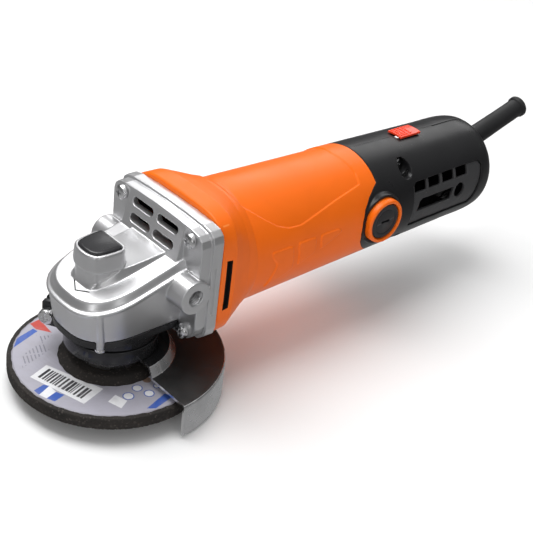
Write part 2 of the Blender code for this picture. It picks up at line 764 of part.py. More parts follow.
def rear_cover(side, word):
    near, far = span(side, 0.15, 60)
    cover = prism(f"rear_cover_{word}", tongue(-0.15), near, far, BLACK, axis="X")
    keep(cover, rear_shell(f"cover_shell_{word}", 0.0, WALL))
    near, far = span(side, 0.15, 30.2)
    boss_start = (side * 25.6, BRUSH_Y, BRUSH_Z)
    boss_end = (side * 30.6, BRUSH_Y, BRUSH_Z)
    join(cover, rod(f"brush_boss_{word}", 14.6, boss_start, boss_end, sides=24))
    wall = turned(
        f"bearing_wall_{word}",
        [(28.0, 177.5), (28.0, 170.0), (11.3, 170.0), (11.3, 177.5)],
        axis="Y",
        steps=24,
    )
    keep(wall, box(f"wall_half_{word}", (near, 160, -40), (far, 190, 40)))
    near, far = span(side, 14.5, 24.0)
    cut(wall, box(f"wall_window_{word}", (near, 160, -9), (far, 190, 9)))
    join(cover, wall)
    for z in (COVER_SCREW_Z, -COVER_SCREW_Z):
        start = (side * 0.15, COVER_SCREW_Y, z)
        end = (side * 19.0, COVER_SCREW_Y, z)
        boss = rod(f"screw_boss_{word}{z}", 6.0, start, end, sides=14)
        keep(boss, rear_envelope(f"envelope_{word}{z}"))
        join(cover, boss)
    for z in (COVER_SCREW_Z, -COVER_SCREW_Z):
        shank = (side * -2, COVER_SCREW_Y, z), (side * 14, COVER_SCREW_Y, z)
        cut(cover, rod(f"screw_hole_{word}{z}", 2.0, *shank, sides=8))
        recess = (side * (12.7 if side > 0 else 17.5), COVER_SCREW_Y, z)
        end = (side * 40, COVER_SCREW_Y, z)
        cut(cover, rod(f"screw_recess_{word}{z}", 4.5, recess, end, sides=16))
    hole = (side * 15, BRUSH_Y, BRUSH_Z), (side * 40, BRUSH_Y, BRUSH_Z)
    cut(cover, rod(f"brush_hole_{word}", CAP_RADIUS + 0.4, *hole, sides=24))
    pocket = (side * 28.4, BRUSH_Y, BRUSH_Z), (side * 40, BRUSH_Y, BRUSH_Z)
    cut(cover, rod(f"bezel_pocket_{word}", BEZEL_RADIUS + 0.3, *pocket, sides=28))
    near, far = span(side, 15, 45)
    cut(cover, prism(f"panel_hole_{word}", panel_outline(0.0), near, far, axis="X"))
    cut(cover, box(f"knob_slot_{word}", (-2.9, 187.4, 20), (2.9, 201.6, 40)))
    boot_axis = Vector((0, math.cos(BOOT_TILT), math.sin(BOOT_TILT)))
    base = Vector(BOOT_BASE)
    cut(cover, rod(f"boot_hole_{word}", BOOT_RADIUS + 0.3, base, base + boot_axis * 40, sides=20))
    vent_panel(side, word)


def panel_outline(inset):
    """The louvre panel seen from the side, with clipped corners."""
    low, high = -11.6 + inset, 14.3 - inset
    front, back = 178.2 + inset, 238.6 - inset
    return [
        (front + 1.0, low), (back - 6.6, low), (back - 4.4, low + 3.2), (back - 1.2, 4.0),
        (back, high - 3.0), (back - 3.0, high), (front + 2.0, high), (front, high - 2.0),
        (front, low + 1.0),
    ]


def vent_panel(side, word):
    near, far = span(side, 12, 45)
    panel = prism(f"vent_panel_{word}", panel_outline(0.35), near, far, GREY, axis="X")
    keep(panel, rear_shell(f"panel_shell_{word}", 0.9, WALL))
    near, far = span(side, 8, 50)
    for k in range(4):
        start = 180.2 + 12.0 * k
        window = [(start, 8.0), (start + 9.4, 8.0), (start + 9.8, 12.6), (start + 0.4, 12.6)]
        cut(panel, prism(f"window_{word}{k}", window, near, far, axis="X"))
    slot = [(182.6, -3.0), (212.2, -3.0), (214.0, 4.0), (186.0, 4.0), (184.2, 3.0)]
    cut(panel, prism(f"long_slot_{word}", slot, near, far, axis="X"))
    hole = (side * 8, 219.4, 0.6), (side * 50, 219.4, 0.6)
    cut(panel, rod(f"round_hole_{word}", 3.9, *hole, sides=14))


def brush_gear():
    for side, word in ((1, "right"), (-1, "left")):
        place = (0, BRUSH_Y, BRUSH_Z)
        turn = (0, side * math.pi / 2, 0)
        bezel = [(12.2, CAP_FACE), (BEZEL_RADIUS, 32.8), (BEZEL_RADIUS, 28.8), (CAP_RADIUS + 0.4, 28.8)]
        bezel += [(CAP_RADIUS + 0.4, 33.2), (11.0, CAP_FACE)]
        turned(f"brush_bezel_{word}", bezel, ORANGE, steps=28, location=place, rotation=turn)
        cap = [(0, CAP_FACE - 0.6), (CAP_RADIUS - 0.7, CAP_FACE - 0.6), (CAP_RADIUS, CAP_FACE - 1.4)]
        cap += [(CAP_RADIUS, 26.0), (0, 26.0)]
        cap = turned(f"brush_cap_{word}", cap, BLACK, steps=24, location=place, rotation=turn)
        near, far = span(side, CAP_FACE - 2.4, 40)
        low = (near, BRUSH_Y - 5.6, BRUSH_Z - 0.9)
        high = (far, BRUSH_Y + 5.6, BRUSH_Z + 0.9)
        cut(cap, box(f"cap_slot_{word}", low, high))
        near, far = span(side, 13.4, 25.4)
        holder = box(
            f"brush_holder_{word}",
            (near, BRUSH_Y - 4.6, BRUSH_Z - 6.0),
            (far, BRUSH_Y + 4.6, BRUSH_Z + 6.0),
            BRASS,
        )
        near, far = span(side, 12, 27)
        cut(
            holder,
            box(
                f"brush_way_{word}",
                (near, BRUSH_Y - 3.4, BRUSH_Z - 4.8),
                (far, BRUSH_Y + 3.4, BRUSH_Z + 4.8),
            ),
        )
        near, far = span(side, 12.1, 24.0)
        box(
            f"carbon_brush_{word}",
            (near, BRUSH_Y - 3.0, BRUSH_Z - 4.4),
            (far, BRUSH_Y + 3.0, BRUSH_Z + 4.4),
            CARBON,
        )


def fan():
    blades = 12
    outline = []
    for k in range(blades):
        centre = 2 * math.pi * k / blades
        for radius, half in ((9.0, 0.16), (26.4, 0.028), (26.4, -0.028), (9.0, -0.16)):
            outline.append((radius * math.cos(centre - half), radius * math.sin(centre - half)))
    wheel = prism("fan", outline, 43.0, 52.6, BLACK, axis="Y")
    disc = [(27.0, 53.6), (27.0, 52.2), (5.0, 52.2), (5.0, 53.6)]
    join(wheel, turned("fan_disc", disc, axis="Y", steps=24))
    cut(wheel, rod("fan_bore", 4.7, (0, 40, 0), (0, 56, 0), sides=14))
    baffle = [(20.0, 60.4), (29.6, 58.2), (29.6, 56.4), (20.0, 58.6)]
    turned("air_baffle", baffle, BLACK, axis="Y", steps=28)


def armature():
    shaft = [(0, 178.0), (3.4, 178.0), (3.4, 169.0), (5.5, 169.0), (5.5, 54.4), (4.3, 54.4)]
    shaft += [(4.3, 36.0), (4.9, 36.0), (4.9, 24.8), (0, 24.8)]
    turned("armature_shaft", shaft, STEEL, axis="Y", steps=16)
    slots = 12
    outline = []
    for k in range(slots):
        centre = 2 * math.pi * k / slots
        for radius, half in ((11.0, -0.16), (16.0, -0.15), (17.6, -0.21), (17.6, 0.21), (16.0, 0.15), (11.0, 0.16)):
            outline.append((radius * math.cos(centre + half), radius * math.sin(centre + half)))
    core = prism("armature_core", outline, 85.0, 131.0, LAMINATION, axis="Y")
    cut(core, rod("core_bore", 5.9, (0, 80, 0), (0, 140, 0), sides=14))
    for word, start, end in (("front", 84.6, 74.5), ("rear", 131.4, 141.0)):
        middle = (start + end) / 2
        profile = [(6.2, start), (16.4, start), (16.4, middle), (13.0, end), (6.2, end)]
        if start > end:
            profile.reverse()
        profile.reverse()
        turned(f"winding_{word}", profile, COPPER, axis="Y", steps=20)
    collector = [(11.7, 163.0), (11.7, 147.0), (13.2, 147.0), (13.2, 144.4), (5.9, 144.4)]
    collector += [(5.9, 163.0)]
    turned("commutator", collector, COPPER, axis="Y", steps=22)
    bearing("front_bearing", 5.2, 15.0, 9.0, 25.0, "Y", 22)
    bearing("rear_bearing", 3.7, 11.0, 7.0, 170.2, "Y", 18)


def stator():
    core = turned("stator_core", [(28.4, 132), (28.4, 84), (18.4, 84), (18.4, 132)],
                  LAMINATION, axis="Y", steps=36)
    for side in (1, -1):
        near, far = span(side, 12.0, 25.0)
        cut(core, box(f"coil_window{side}", (near, 80, -11.0), (far, 140, 11.0)))
    for word, up in (("upper", 1), ("lower", -1)):
        loop = []
        turns = 8
        for y, order in ((78.5, 1), (137.5, -1)):
            for k in range(turns + 1):
                a = math.radians(16 + 148 * k / turns)
                a = a if order > 0 else math.pi - a
                loop.append((21.9 * math.cos(a), y, up * 21.9 * math.sin(a)))
        tube(f"field_coil_{word}", loop, 2.5, COPPER, cyclic=True)


def switch_gear():
    rear = KNOB_REAR
    knob = box("switch_knob", (-5.8, rear - 17.0, 30.3), (5.8, rear, 31.4), RED)
    for k in range(5):
        y = rear - 14.0 + 2.6 * k
        join(knob, box(f"knob_rib{k}", (-4.8, y, 31.0), (4.8, y + 1.2, 32.2)))
    join(knob, box("knob_stem", (-2.4, rear - 8.8, 24.6), (2.4, rear - 3.4, 30.6)))
    box("switch_link", (-3.0, rear - 14.0, 19.4), (3.0, rear - 1.0, 24.3), BLACK)
    box("switch_body", (-7.0, 184.0, 1.5), (7.0, 212.0, 18.9), GREY, bevel=0.8)


def cord_boot():
    length = BOOT_LENGTH
    r = BOOT_RADIUS
    profile = [(r + 0.1, length), (r + 0.5, length - 0.8), (r + 0.5, length - 2.6), (r - 0.4, length - 3.4)]
    profile += [(r, 16.0), (r, 4.6), (9.0, 4.4), (9.0, 1.0), (BOOT_BORE, 1.0), (BOOT_BORE, length)]
    turn = (BOOT_TILT - math.pi / 2, 0, 0)
    turned("cord_boot", profile, RUBBER, steps=20, location=BOOT_BASE, rotation=turn)


gear_case()
spindle_lock()
bevel_gear()
pinion()
spindle_group()
bearing_cover()
guard()
case_screws()
motor_housing()
rear_covers()
brush_gear()
fan()
armature()
stator()
switch_gear()
cord_boot()
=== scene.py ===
"""The looks of the small angle grinder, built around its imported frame.

Shapes are worked out in millimetres from the point where the spindle axis meets the motor axis: +X
is the tool's right side, +Y runs back along the motor, +Z is up. place() moves each into the frame.
"""

import json
import math
from math import cos, pi, radians, sin

import bmesh
import bpy
import numpy as np
from mathutils import Matrix, Vector


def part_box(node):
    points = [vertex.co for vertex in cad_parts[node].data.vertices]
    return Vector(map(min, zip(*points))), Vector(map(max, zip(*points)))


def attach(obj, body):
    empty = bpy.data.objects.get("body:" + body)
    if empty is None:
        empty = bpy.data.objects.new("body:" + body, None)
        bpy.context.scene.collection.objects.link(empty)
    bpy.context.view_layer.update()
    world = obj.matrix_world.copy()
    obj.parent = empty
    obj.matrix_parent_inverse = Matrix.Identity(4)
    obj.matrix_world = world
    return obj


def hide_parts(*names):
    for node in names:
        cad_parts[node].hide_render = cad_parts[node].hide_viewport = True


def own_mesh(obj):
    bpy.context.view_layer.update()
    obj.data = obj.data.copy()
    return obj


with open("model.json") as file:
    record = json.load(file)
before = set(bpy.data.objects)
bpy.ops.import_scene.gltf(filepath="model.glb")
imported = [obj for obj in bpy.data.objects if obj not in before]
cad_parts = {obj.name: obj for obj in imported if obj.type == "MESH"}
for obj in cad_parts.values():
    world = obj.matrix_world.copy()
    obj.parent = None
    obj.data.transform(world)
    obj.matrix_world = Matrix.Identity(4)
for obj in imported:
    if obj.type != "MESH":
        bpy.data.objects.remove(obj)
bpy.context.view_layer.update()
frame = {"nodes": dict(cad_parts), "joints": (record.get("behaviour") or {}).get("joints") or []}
NODES = frame["nodes"]
AXIS_Z = next(j for j in frame["joints"] if j["name"] == "armature_spin")["pos_m"][2]
MM = 0.001
rng = np.random.default_rng(7)


def low_high(node):
    """A CAD node's box in this script's millimetres."""
    low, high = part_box(node)
    shift = Vector((0, 0, AXIS_Z))
    return (low - shift) / MM, (high - shift) / MM


# Sizes read from the frame
GUARD_LOW, GUARD_HIGH = low_high("wheel_guard")
HANDLE_FACE = low_high("gear_case")[1].x
HEAD_BOTTOM = low_high("bearing_cover")[1].z + 0.3
PAD_TOP = low_high("lock_button")[1].z
CAP_FACE = low_high("brush_bezel_right")[1].x

# Places and sizes that several pieces share
GUARD_RADIUS = 56.85
HANDLE_Y, HANDLE_Z = 20.2, -0.3
LOCK_Y = -10.4
BRUSH_Y, BRUSH_Z = 152.0, 1.4
CAP_RADIUS = 10.0
COVER_SCREW_Y, COVER_SCREW_Z = 175.5, 21.5
CASE_SCREWS = ((26.9, 25.4), (-26.9, 25.4), (26.9, -25.0), (-26.9, -25.0))
COVER_CORNERS = ((17.7, -18.8), (-17.7, -18.8), (17.7, 18.4), (-17.7, 18.4))
EAR_ANGLE = radians(213)
EAR_MIDDLE, EAR_GAP = 31.2, 1.4
BAND_TOP = -29.6
BOOT_TILT = radians(16.7)
BOOT_BASE = Vector((0.0, 240.0, 6.2))
BOOT_LENGTH, BOOT_RADIUS = 65.0, 6.1
HEAD_POWER = 2.7
THREAD_OUT, THREAD_PITCH, THREAD_TURNS = 4.0, 1.25, 10
CAST_GRAIN, COVER_GRAIN, PANEL_GRAIN, KNOB_GRAIN = 0.35, 0.42, 0.3, 0.15
HOUSING_FRONT, ROUND_FROM, HOUSING_END = 35.0, 61.0, 151.0
SLOT_FRONT, SLOT_REAR, SLOT_HALF = 38.0, 41.5, 13.5
RECESS, PANEL_DEPTH = 0.65, 0.9
PAD_MIDDLE_Y, PAD_SLOPE, COLLAR_SLOPE = -9.6, 0.06, 0.05
KNOB_REAR = 203.4
SPRING_COILS, SPRING_STEPS, WIRE_RADIUS = 4.5, 160, 0.35
SIDES = ((1, "right"), (-1, "left"))
SPUN = "spindle_assembly"


# Materials ------------------------------------------------------------------------------------

def fill(node, **values):
    """Sets a node's inputs by name, with _ for a space."""
    for name, value in values.items():
        node.inputs[name.replace("_", " ")].default_value = value


def toned(colour, share):
    return tuple(min(1.0, c * share) for c in colour)


class Skin:
    """A material in the making, with its textures in the object's own coordinates."""

    # The colour sockets of a Mix node, which shares their names with its other sockets
    COLOUR_A, COLOUR_B, COLOUR_RESULT = 6, 7, 2

    def __init__(self, name):
        self.made = bpy.data.materials.new(name)
        self.made.use_nodes = True
        self.nodes = self.made.node_tree.nodes
        self.shader = self.nodes["Principled BSDF"]
        self.at = self.nodes.new("ShaderNodeTexCoord").outputs["Object"]

    def link(self, value, node, socket):
        self.made.node_tree.links.new(value, node.inputs[socket])

    def texture(self, kind, **values):
        node = self.nodes.new(f"ShaderNodeTex{kind}")
        fill(node, **values)
        self.link(self.at, node, "Vector")
        return node

    def noise(self, scale, detail=4.0, distortion=0.0):
        node = self.texture("Noise", Scale=scale, Detail=detail, Distortion=distortion)
        return node.outputs["Fac"]

    def ranged(self, value, low=0.0, high=1.0, start=0.25, end=0.75):
        node = self.nodes.new("ShaderNodeMapRange")
        fill(node, From_Min=start, From_Max=end, To_Min=low, To_Max=high)
        self.link(value, node, "Value")
        return node.outputs["Result"]

    def mixed(self, factor, first, second):
        """A colour mix. first and second are colours or sockets."""
        node = self.nodes.new("ShaderNodeMix")
        node.data_type = "RGBA"
        self.link(factor, node, "Factor")
        for value, index in ((first, self.COLOUR_A), (second, self.COLOUR_B)):
            if isinstance(value, tuple):
                node.inputs[index].default_value = (*value, 1.0)
            else:
                self.link(value, node, index)
        return node.outputs[self.COLOUR_RESULT]

    def blotched(self, value, colour, dark, light):
        """The colour, going from darker to lighter with a noise."""
        return self.mixed(self.ranged(value), toned(colour, dark), toned(colour, light))

    def worn(self, colour, edge_colour):
        """The colour, rubbed through to edge_colour along convex edges, in patches."""
        shape = self.nodes.new("ShaderNodeNewGeometry").outputs["Pointiness"]
        both = self.nodes.new("ShaderNodeMath")
        both.operation = "MULTIPLY"
        self.link(self.ranged(shape, start=0.53, end=0.62), both, 0)
        self.link(self.ranged(self.noise(260.0), 0.2, 1.0, 0.35, 0.65), both, 1)
        return self.mixed(both.outputs[0], colour, edge_colour)

    def finish(self, colour, uneven, low, high, bumps, **settings):
        """Joins up the colour, a roughness from low to high, and bumps one on another.

        A bump is (value, strength, depth in metres).
        """
        self.link(colour, self.shader, "Base Color")
        if uneven is not None:
            self.link(self.ranged(uneven, low, high), self.shader, "Roughness")
        fill(self.shader, **settings)
        normal = None
        for value, strength, depth in bumps:
            node = self.nodes.new("ShaderNodeBump")
            fill(node, Strength=strength, Distance=depth)
            self.link(value, node, "Height")
            if normal is not None:
                self.link(normal, node, "Normal")
            normal = node.outputs["Normal"]
        if normal is not None:
            self.link(normal, self.shader, "Normal")
        return self.made


def moulded(name, colour, rough, edge, tone=0.10, grain=0.25, coat=0.0):
    """Moulded plastic or rubber: fine grain, faint flow marks and lighter rubbed edges."""
    skin = Skin(name)
    body = skin.blotched(skin.noise(35.0, 3.0, 0.6), colour, 1 - tone, 1 + tone)
    smears = skin.noise(90.0, 5.0)
    bumps = ((smears, 0.05, 0.0002), (skin.noise(2600.0, 2.0), grain, 0.00003))
    return skin.finish(
        skin.worn(body, edge), smears, rough - 0.05, rough + 0.07, bumps,
        Specular_IOR_Level=0.25, Coat_Weight=coat, Coat_Roughness=0.12,
    )


def cast_metal(name, colour, rough, grain=0.2):
    """Tumbled die casting: bright, with soft mottling and a fine skin."""
    skin = Skin(name)
    cloud = skin.noise(55.0, 5.0, 0.4)
    body = skin.worn(skin.blotched(cloud, colour, 0.95, 1.03), (0.95, 0.95, 0.96))
    bumps = ((cloud, 0.03, 0.0002), (skin.noise(1500.0, 3.0), grain, 0.00003))
    return skin.finish(body, cloud, rough - 0.03, rough + 0.05, bumps, Metallic=0.85)


def turned_metal(name, colour, rough, axis="Z", rings=900.0, metallic=1.0, marks=0.25):
    """Metal with the fine rings that a lathe leaves round an axis, and small stains."""
    skin = Skin(name)
    wave = skin.texture("Wave", Scale=rings, Distortion=1.5, Detail=2.0)
    wave.wave_type = "RINGS"
    wave.rings_direction = axis
    stain = skin.noise(140.0, 5.0)
    body = skin.worn(skin.blotched(stain, colour, 0.82, 1.08), toned(colour, 1.4))
    bumps = ((wave.outputs["Fac"], marks, 0.00003),)
    return skin.finish(body, stain, rough - 0.05, rough + 0.1, bumps, Metallic=metallic)


def enamel(name, colour, rough):
    """Stove enamel on steel: faint orange peel, dust and chipped edges."""
    skin = Skin(name)
    dust = skin.noise(180.0, 6.0)
    body = skin.mixed(skin.ranged(dust, start=0.4, end=0.8), colour, toned(colour, 1.9))
    bumps = ((skin.noise(900.0, 2.0), 0.12, 0.00005),)
    return skin.finish(skin.worn(body, (0.35, 0.35, 0.36)), dust, rough - 0.06, rough + 0.1, bumps)


def abrasive():
    """Dark resin full of grit: pale and brown grains, pits between them."""
    skin = Skin("grit")
    cells = skin.texture("Voronoi", Scale=1300.0)
    pick = skin.nodes.new("ShaderNodeSeparateColor")
    skin.link(cells.outputs["Color"], pick, "Color")
    patch = skin.ranged(skin.noise(70.0, 4.0))
    resin = skin.mixed(patch, (0.010, 0.009, 0.008), (0.024, 0.019, 0.016))
    picked = skin.ranged(pick.outputs["Red"], start=0.86, end=1.0)
    grains = skin.mixed(picked, resin, (0.060, 0.050, 0.044))
    bumps = ((skin.noise(520.0, 6.0), 0.5, 0.0003), (cells.outputs["Distance"], 0.6, 0.0002))
    return skin.finish(grains, None, 0, 0, bumps, Roughness=0.82)


def printed_paper():
    """The wheel's paper face. Its ink is the mesh's own colour attribute."""
    skin = Skin("printed_paper")
    ink = skin.nodes.new("ShaderNodeAttribute")
    ink.attribute_name = "ink"
    scuff = skin.noise(160.0, 6.0)
    rubbed = skin.ranged(scuff, 0.0, 0.35, 0.45, 0.8)
    body = skin.mixed(rubbed, ink.outputs["Color"], (0.30, 0.28, 0.30))
    bumps = ((scuff, 0.25, 0.0003), (skin.noise(700.0, 3.0), 0.2, 0.0001))
    return skin.finish(body, scuff, 0.30, 0.5, bumps)


def flecked(name, colour, rough, metallic):
    """Small inner parts: plain stock with flecks and a slight unevenness."""
    skin = Skin(name)
    fleck = skin.noise(600.0, 5.0)
    body = skin.blotched(fleck, colour, 0.75, 1.2)
    bumps = ((fleck, 0.2, 0.00008),)
    return skin.finish(body, fleck, rough - 0.06, rough + 0.08, bumps, Metallic=metallic)


def wound(name, colour):
    """Windings: rows of enamelled wire side by side, with painted shade in the grooves between
    them.
    """
    skin = Skin(name)
    wave = skin.texture("Wave", Scale=320.0, Distortion=3.0)
    wave.bands_direction = "Y"
    # Darker where the wave dips, in the grooves between the wires: painted shade.
    body = skin.mixed(wave.outputs["Fac"], toned(colour, 0.45), toned(colour, 1.15))
    bumps = ((wave.outputs["Fac"], 0.7, 0.0003),)
    return skin.finish(body, skin.noise(300.0), 0.25, 0.45, bumps, Metallic=0.7)


CAST = cast_metal("cast_skin", (0.66, 0.66, 0.67), 0.31, 0.12)
ORANGE = moulded("orange_skin", (0.90, 0.150, 0.004), 0.34, (1.0, 0.33, 0.08), tone=0.04)
BLACK = moulded("black_skin", (0.012, 0.012, 0.013), 0.30, (0.06, 0.06, 0.06), tone=0.15)
GREY = moulded("grey_skin", (0.045, 0.045, 0.047), 0.42, (0.16, 0.16, 0.16), tone=0.12, grain=0.4)
DARK = moulded("shadow_skin", (0.006, 0.006, 0.006), 0.8, (0.01, 0.01, 0.01))
DARK_CAP = moulded("cap_skin", (0.028, 0.028, 0.030), 0.4, (0.11, 0.11, 0.11))
RED = moulded("red_skin", (0.86, 0.055, 0.015), 0.28, (1.0, 0.45, 0.33), tone=0.06, coat=0.4)
PAD = moulded("pad_skin", (0.020, 0.020, 0.022), 0.22, (0.09, 0.09, 0.09), grain=0.1, coat=0.3)
RUBBER = moulded("rubber_skin", (0.016, 0.016, 0.017), 0.46, (0.05, 0.05, 0.05), grain=0.35)
STEEL = turned_metal("turned_steel", (0.62, 0.62, 0.63), 0.25)
STEEL_Y = turned_metal("turned_steel_y", (0.60, 0.60, 0.61), 0.28, axis="Y")
BRIGHT = turned_metal("bright_sheet", (0.72, 0.72, 0.73), 0.24, rings=500.0, marks=0.12)
CHROME_X = turned_metal("zinc_plate_x", (0.86, 0.86, 0.87), 0.16, axis="X", rings=500.0, marks=0.05)
CHROME = turned_metal("zinc_plate", (0.86, 0.86, 0.87), 0.16, axis="Y", rings=500.0, marks=0.05)
GLOSS_BLACK = turned_metal(
    "black_oxide", (0.035, 0.035, 0.037), 0.16, rings=700.0, metallic=0.55, marks=0.08
)
ENAMEL = enamel("black_enamel", (0.010, 0.010, 0.010), 0.45)
GRIT = abrasive()
PAPER = printed_paper()
LAMINATION = flecked("lamination", (0.33, 0.33, 0.34), 0.45, 0.9)
BRASS = flecked("drawn_brass", (0.72, 0.50, 0.20), 0.3, 1.0)
CARBON = flecked("graphite", (0.02, 0.02, 0.022), 0.55, 0.1)
SPRING = flecked("spring_wire", (0.5, 0.5, 0.5), 0.3, 1.0)
COPPER = wound("copper_wire", (0.62, 0.22, 0.08))


# Shapes, in millimetres -----------------------------------------------------------------------

SAME_POINT = 0.001

def linked(name, data):
    obj = bpy.data.objects.new(name, data)
    bpy.context.scene.collection.objects.link(obj)
    return obj


def scratch(name, points, faces, merge=True):
    """A new object from points and faces, with its faces turned outwards."""
    mesh = bpy.data.meshes.new(name)
    mesh.from_pydata([tuple(map(float, p)) for p in points], [], faces)
    obj = linked(name, mesh)
    shape = bmesh.new()
    shape.from_mesh(mesh)
    if merge:
        bmesh.ops.remove_doubles(shape, verts=shape.verts, dist=SAME_POINT)
    bmesh.ops.recalc_face_normals(shape, faces=shape.faces)
    shape.to_mesh(mesh)
    shape.free()
    return obj


def all_round(count):
    """The angles of count even steps round a circle."""
    return [2 * pi * k / count for k in range(count)]


def loft(name, rings, ends=True):
    """A skin through rings of equal count, capped at both ends or closed back on itself."""
    count = len(rings[0])
    total = len(rings)
    faces = []
    for i in range(total - 1 if ends else total):
        here = i * count
        there = (i + 1) % total * count
        for k in range(count):
            n = (k + 1) % count
            faces.append((here + k, here + n, there + n, there + k))
    if ends:
        faces.append(tuple(range(count)))
        faces.append(tuple(range((total - 1) * count, total * count)))
    return scratch(name, [p for ring in rings for p in ring], faces)


AXES = {
    "Z": lambda u, v, w: (u, v, w),
    "Y": lambda u, v, w: (u, w, v),
    "X": lambda u, v, w: (w, u, v),
}


def prism(name, outline, low, high, axis="Z"):
    """An outline carried along an axis. It is (x, y), (x, z) or (y, z)."""
    to = AXES[axis]
    return loft(name, [[to(u, v, w) for u, v in outline] for w in (low, high)])


def turned(name, profile, axis="Z", steps=128):
    """A profile of (radius, height), open on the axis or closed, turned round an axis."""
    to = AXES[axis]
    on_axis = profile[0][0] == 0
    rings = []
    for a in all_round(steps):
        rings.append([to(r * cos(a), r * sin(a), h) for r, h in profile])
    count = len(profile)
    faces = []
    for k in range(steps):
        here = k * count
        there = (k + 1) % steps * count
        for i in range(count - 1 if on_axis else count):
            n = (i + 1) % count
            faces.append((here + i, here + n, there + n, there + i))
    return scratch(name, [p for ring in rings for p in ring], faces)


def rod(name, radius, start, end, sides=48):
    start = Vector(start)
    end = Vector(end)
    along = (end - start).normalized()
    side = along.orthogonal().normalized()
    other = along.cross(side)
    rings = []
    for middle in (start, end):
        outs = [side * cos(a) + other * sin(a) for a in all_round(sides)]
        rings.append([middle + out * radius for out in outs])
    return loft(name, rings)


def across(name, radius, side, near, far, y, z, sides=48):
    """A rod along X on one side of the tool, from near to far."""
    return rod(name, radius, (side * near, y, z), (side * far, y, z), sides)


def box(name, low, high):
    outline = [(low[0], low[1]), (high[0], low[1]), (high[0], high[1]), (low[0], high[1])]
    return prism(name, outline, low[2], high[2])


def curve(points, each=8):
    """A smooth curve through points, with each steps between two of them."""
    known = np.array([points[0], *points, points[-1]], float)
    made = []
    for i in range(len(points) - 1):
        p0, p1, p2, p3 = known[i : i + 4]
        for t in np.arange(each) / each:
            bend = (2 * p0 - 5 * p1 + 4 * p2 - p3) * t**2
            made.append(0.5 * (2 * p1 + (p2 - p0) * t + bend + (3 * p1 - p0 - 3 * p2 + p3) * t**3))
    made.append(known[-1])
    return [tuple(p) for p in made]


def rounded(outline, radius, steps=4):
    """A closed outline with each corner turned into an arc-like curve of about that radius."""
    made = []
    count = len(outline)
    for i in range(count):
        before = Vector(outline[i - 1])
        here = Vector(outline[i])
        after = Vector(outline[(i + 1) % count])
        reach = min(radius, (before - here).length * 0.45, (after - here).length * 0.45)
        first = here + (before - here).normalized() * reach
        last = here + (after - here).normalized() * reach
        for k in range(steps + 1):
            t = k / steps
            point = first * (1 - t) ** 2 + here * 2 * t * (1 - t) + last * t**2
            made.append(tuple(point))
    return made


def apply(obj):
    graph = bpy.context.evaluated_depsgraph_get()
    mesh = bpy.data.meshes.new_from_object(obj.evaluated_get(graph))
    obj.modifiers.clear()
    obj.data = mesh
    return obj


def combine(target, operation, others):
    for other in others:
        step = target.modifiers.new(other.name, "BOOLEAN")
        step.operation = operation
        step.solver = "MANIFOLD"
        step.object = other
    apply(target)
    for other in others:
        bpy.data.objects.remove(other)
    return target


def cut(target, *others):
    return combine(target, "DIFFERENCE", others)


def keep(target, *others):
    return combine(target, "INTERSECT", others)


def join(target, *others):
    return combine(target, "UNION", others)


def shift(obj, by):
    obj.data.transform(Matrix.Translation(by))


def soft(profile, radius):
    """A profile that starts and ends on the axis, with its other corners rounded."""
    closed = rounded(profile, radius)
    each = len(closed) // len(profile)
    return [profile[0], *closed[each:-each], profile[-1]]


def remesh(obj, size, soften=4):
    """One even skin over the shape, with its edges slightly rounded as a mould leaves them."""
    skin = obj.modifiers.new("skin", "REMESH")
    skin.mode = "VOXEL"
    skin.voxel_size = size
    relax = obj.modifiers.new("relax", "SMOOTH")
    relax.factor = 0.5
    relax.iterations = soften
    return apply(obj)


def points_of(obj):
    flat = np.empty(len(obj.data.vertices) * 3)
    obj.data.vertices.foreach_get("co", flat)
    return flat.reshape(-1, 3)


def set_points(obj, points):
    obj.data.vertices.foreach_set("co", np.asarray(points, np.float32).ravel())
    obj.data.update()


def chosen_faces(mesh, choose):
    """The material index that choose gives each face from its centre."""
    centres = np.empty(len(mesh.polygons) * 3)
    mesh.polygons.foreach_get("center", centres)
    centres = (centres.reshape(-1, 3) - (0, 0, AXIS_Z)) / MM
    return choose(centres).astype(np.int32)


def place(obj, name, materials, angle=None, body="housing", nodes=None, choose=None):
    """Moves a shape into the frame, finishes it and hangs it on its body.

    It takes the place of the node of its name, unless nodes says which. angle is where its edges
    turn sharp, in degrees.
    """
    mesh = obj.data
    obj.name = mesh.name = f"vis_{name}"
    mesh.transform(Matrix.Translation((0, 0, AXIS_Z)) @ Matrix.Diagonal((MM, MM, MM, 1)))
    mesh.materials.clear()
    for material in materials if isinstance(materials, tuple) else (materials,):
        mesh.materials.append(material)
    if choose is not None:
        mesh.polygons.foreach_set("material_index", chosen_faces(mesh, choose))
    mesh.shade_smooth()
    if angle is not None:
        mesh.set_sharp_from_angle(angle=radians(angle))
    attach(obj, body)
    replaced = (name,) if nodes is None else nodes
    if replaced:
        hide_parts(*replaced)


# Gear head ------------------------------------------------------------------------------------

def roof(y):
    """The height of the gear case's sloping top."""
    return 12.0 - 0.28 * (19.0 - y)


def head_outline(half_width, front, back=25.4, count=72):
    outline = [(half_width, back), (half_width, 9.0)]
    for k in range(count + 1):
        a = pi * k / count
        x = half_width * math.copysign(abs(cos(a)) ** (2 / HEAD_POWER), cos(a))
        outline.append((x, -front * sin(a) ** (2 / HEAD_POWER)))
    return outline + [(-half_width, 9.0), (-half_width, back)]


def head_ring(half_width, front, drop=None, level=None):
    outline = head_outline(half_width, front)
    return [(x, y, level if level is not None else roof(y) - drop) for x, y in outline]


def mirrored(half):
    return half + [(-x, v) for x, v in reversed(half) if x > 0]


def flange_outline(grow):
    half = [(0, 31.6), (14, 31.3), (26, 30.6), (31.5, 29.5), (34, 27.3), (35, 24.0)]
    half += [(35, -20.5), (33.6, -25.0), (29.6, -28.4), (24, -29.2)]
    return mirrored([(x + grow * (x > 0), z + math.copysign(grow, z)) for x, z in half])


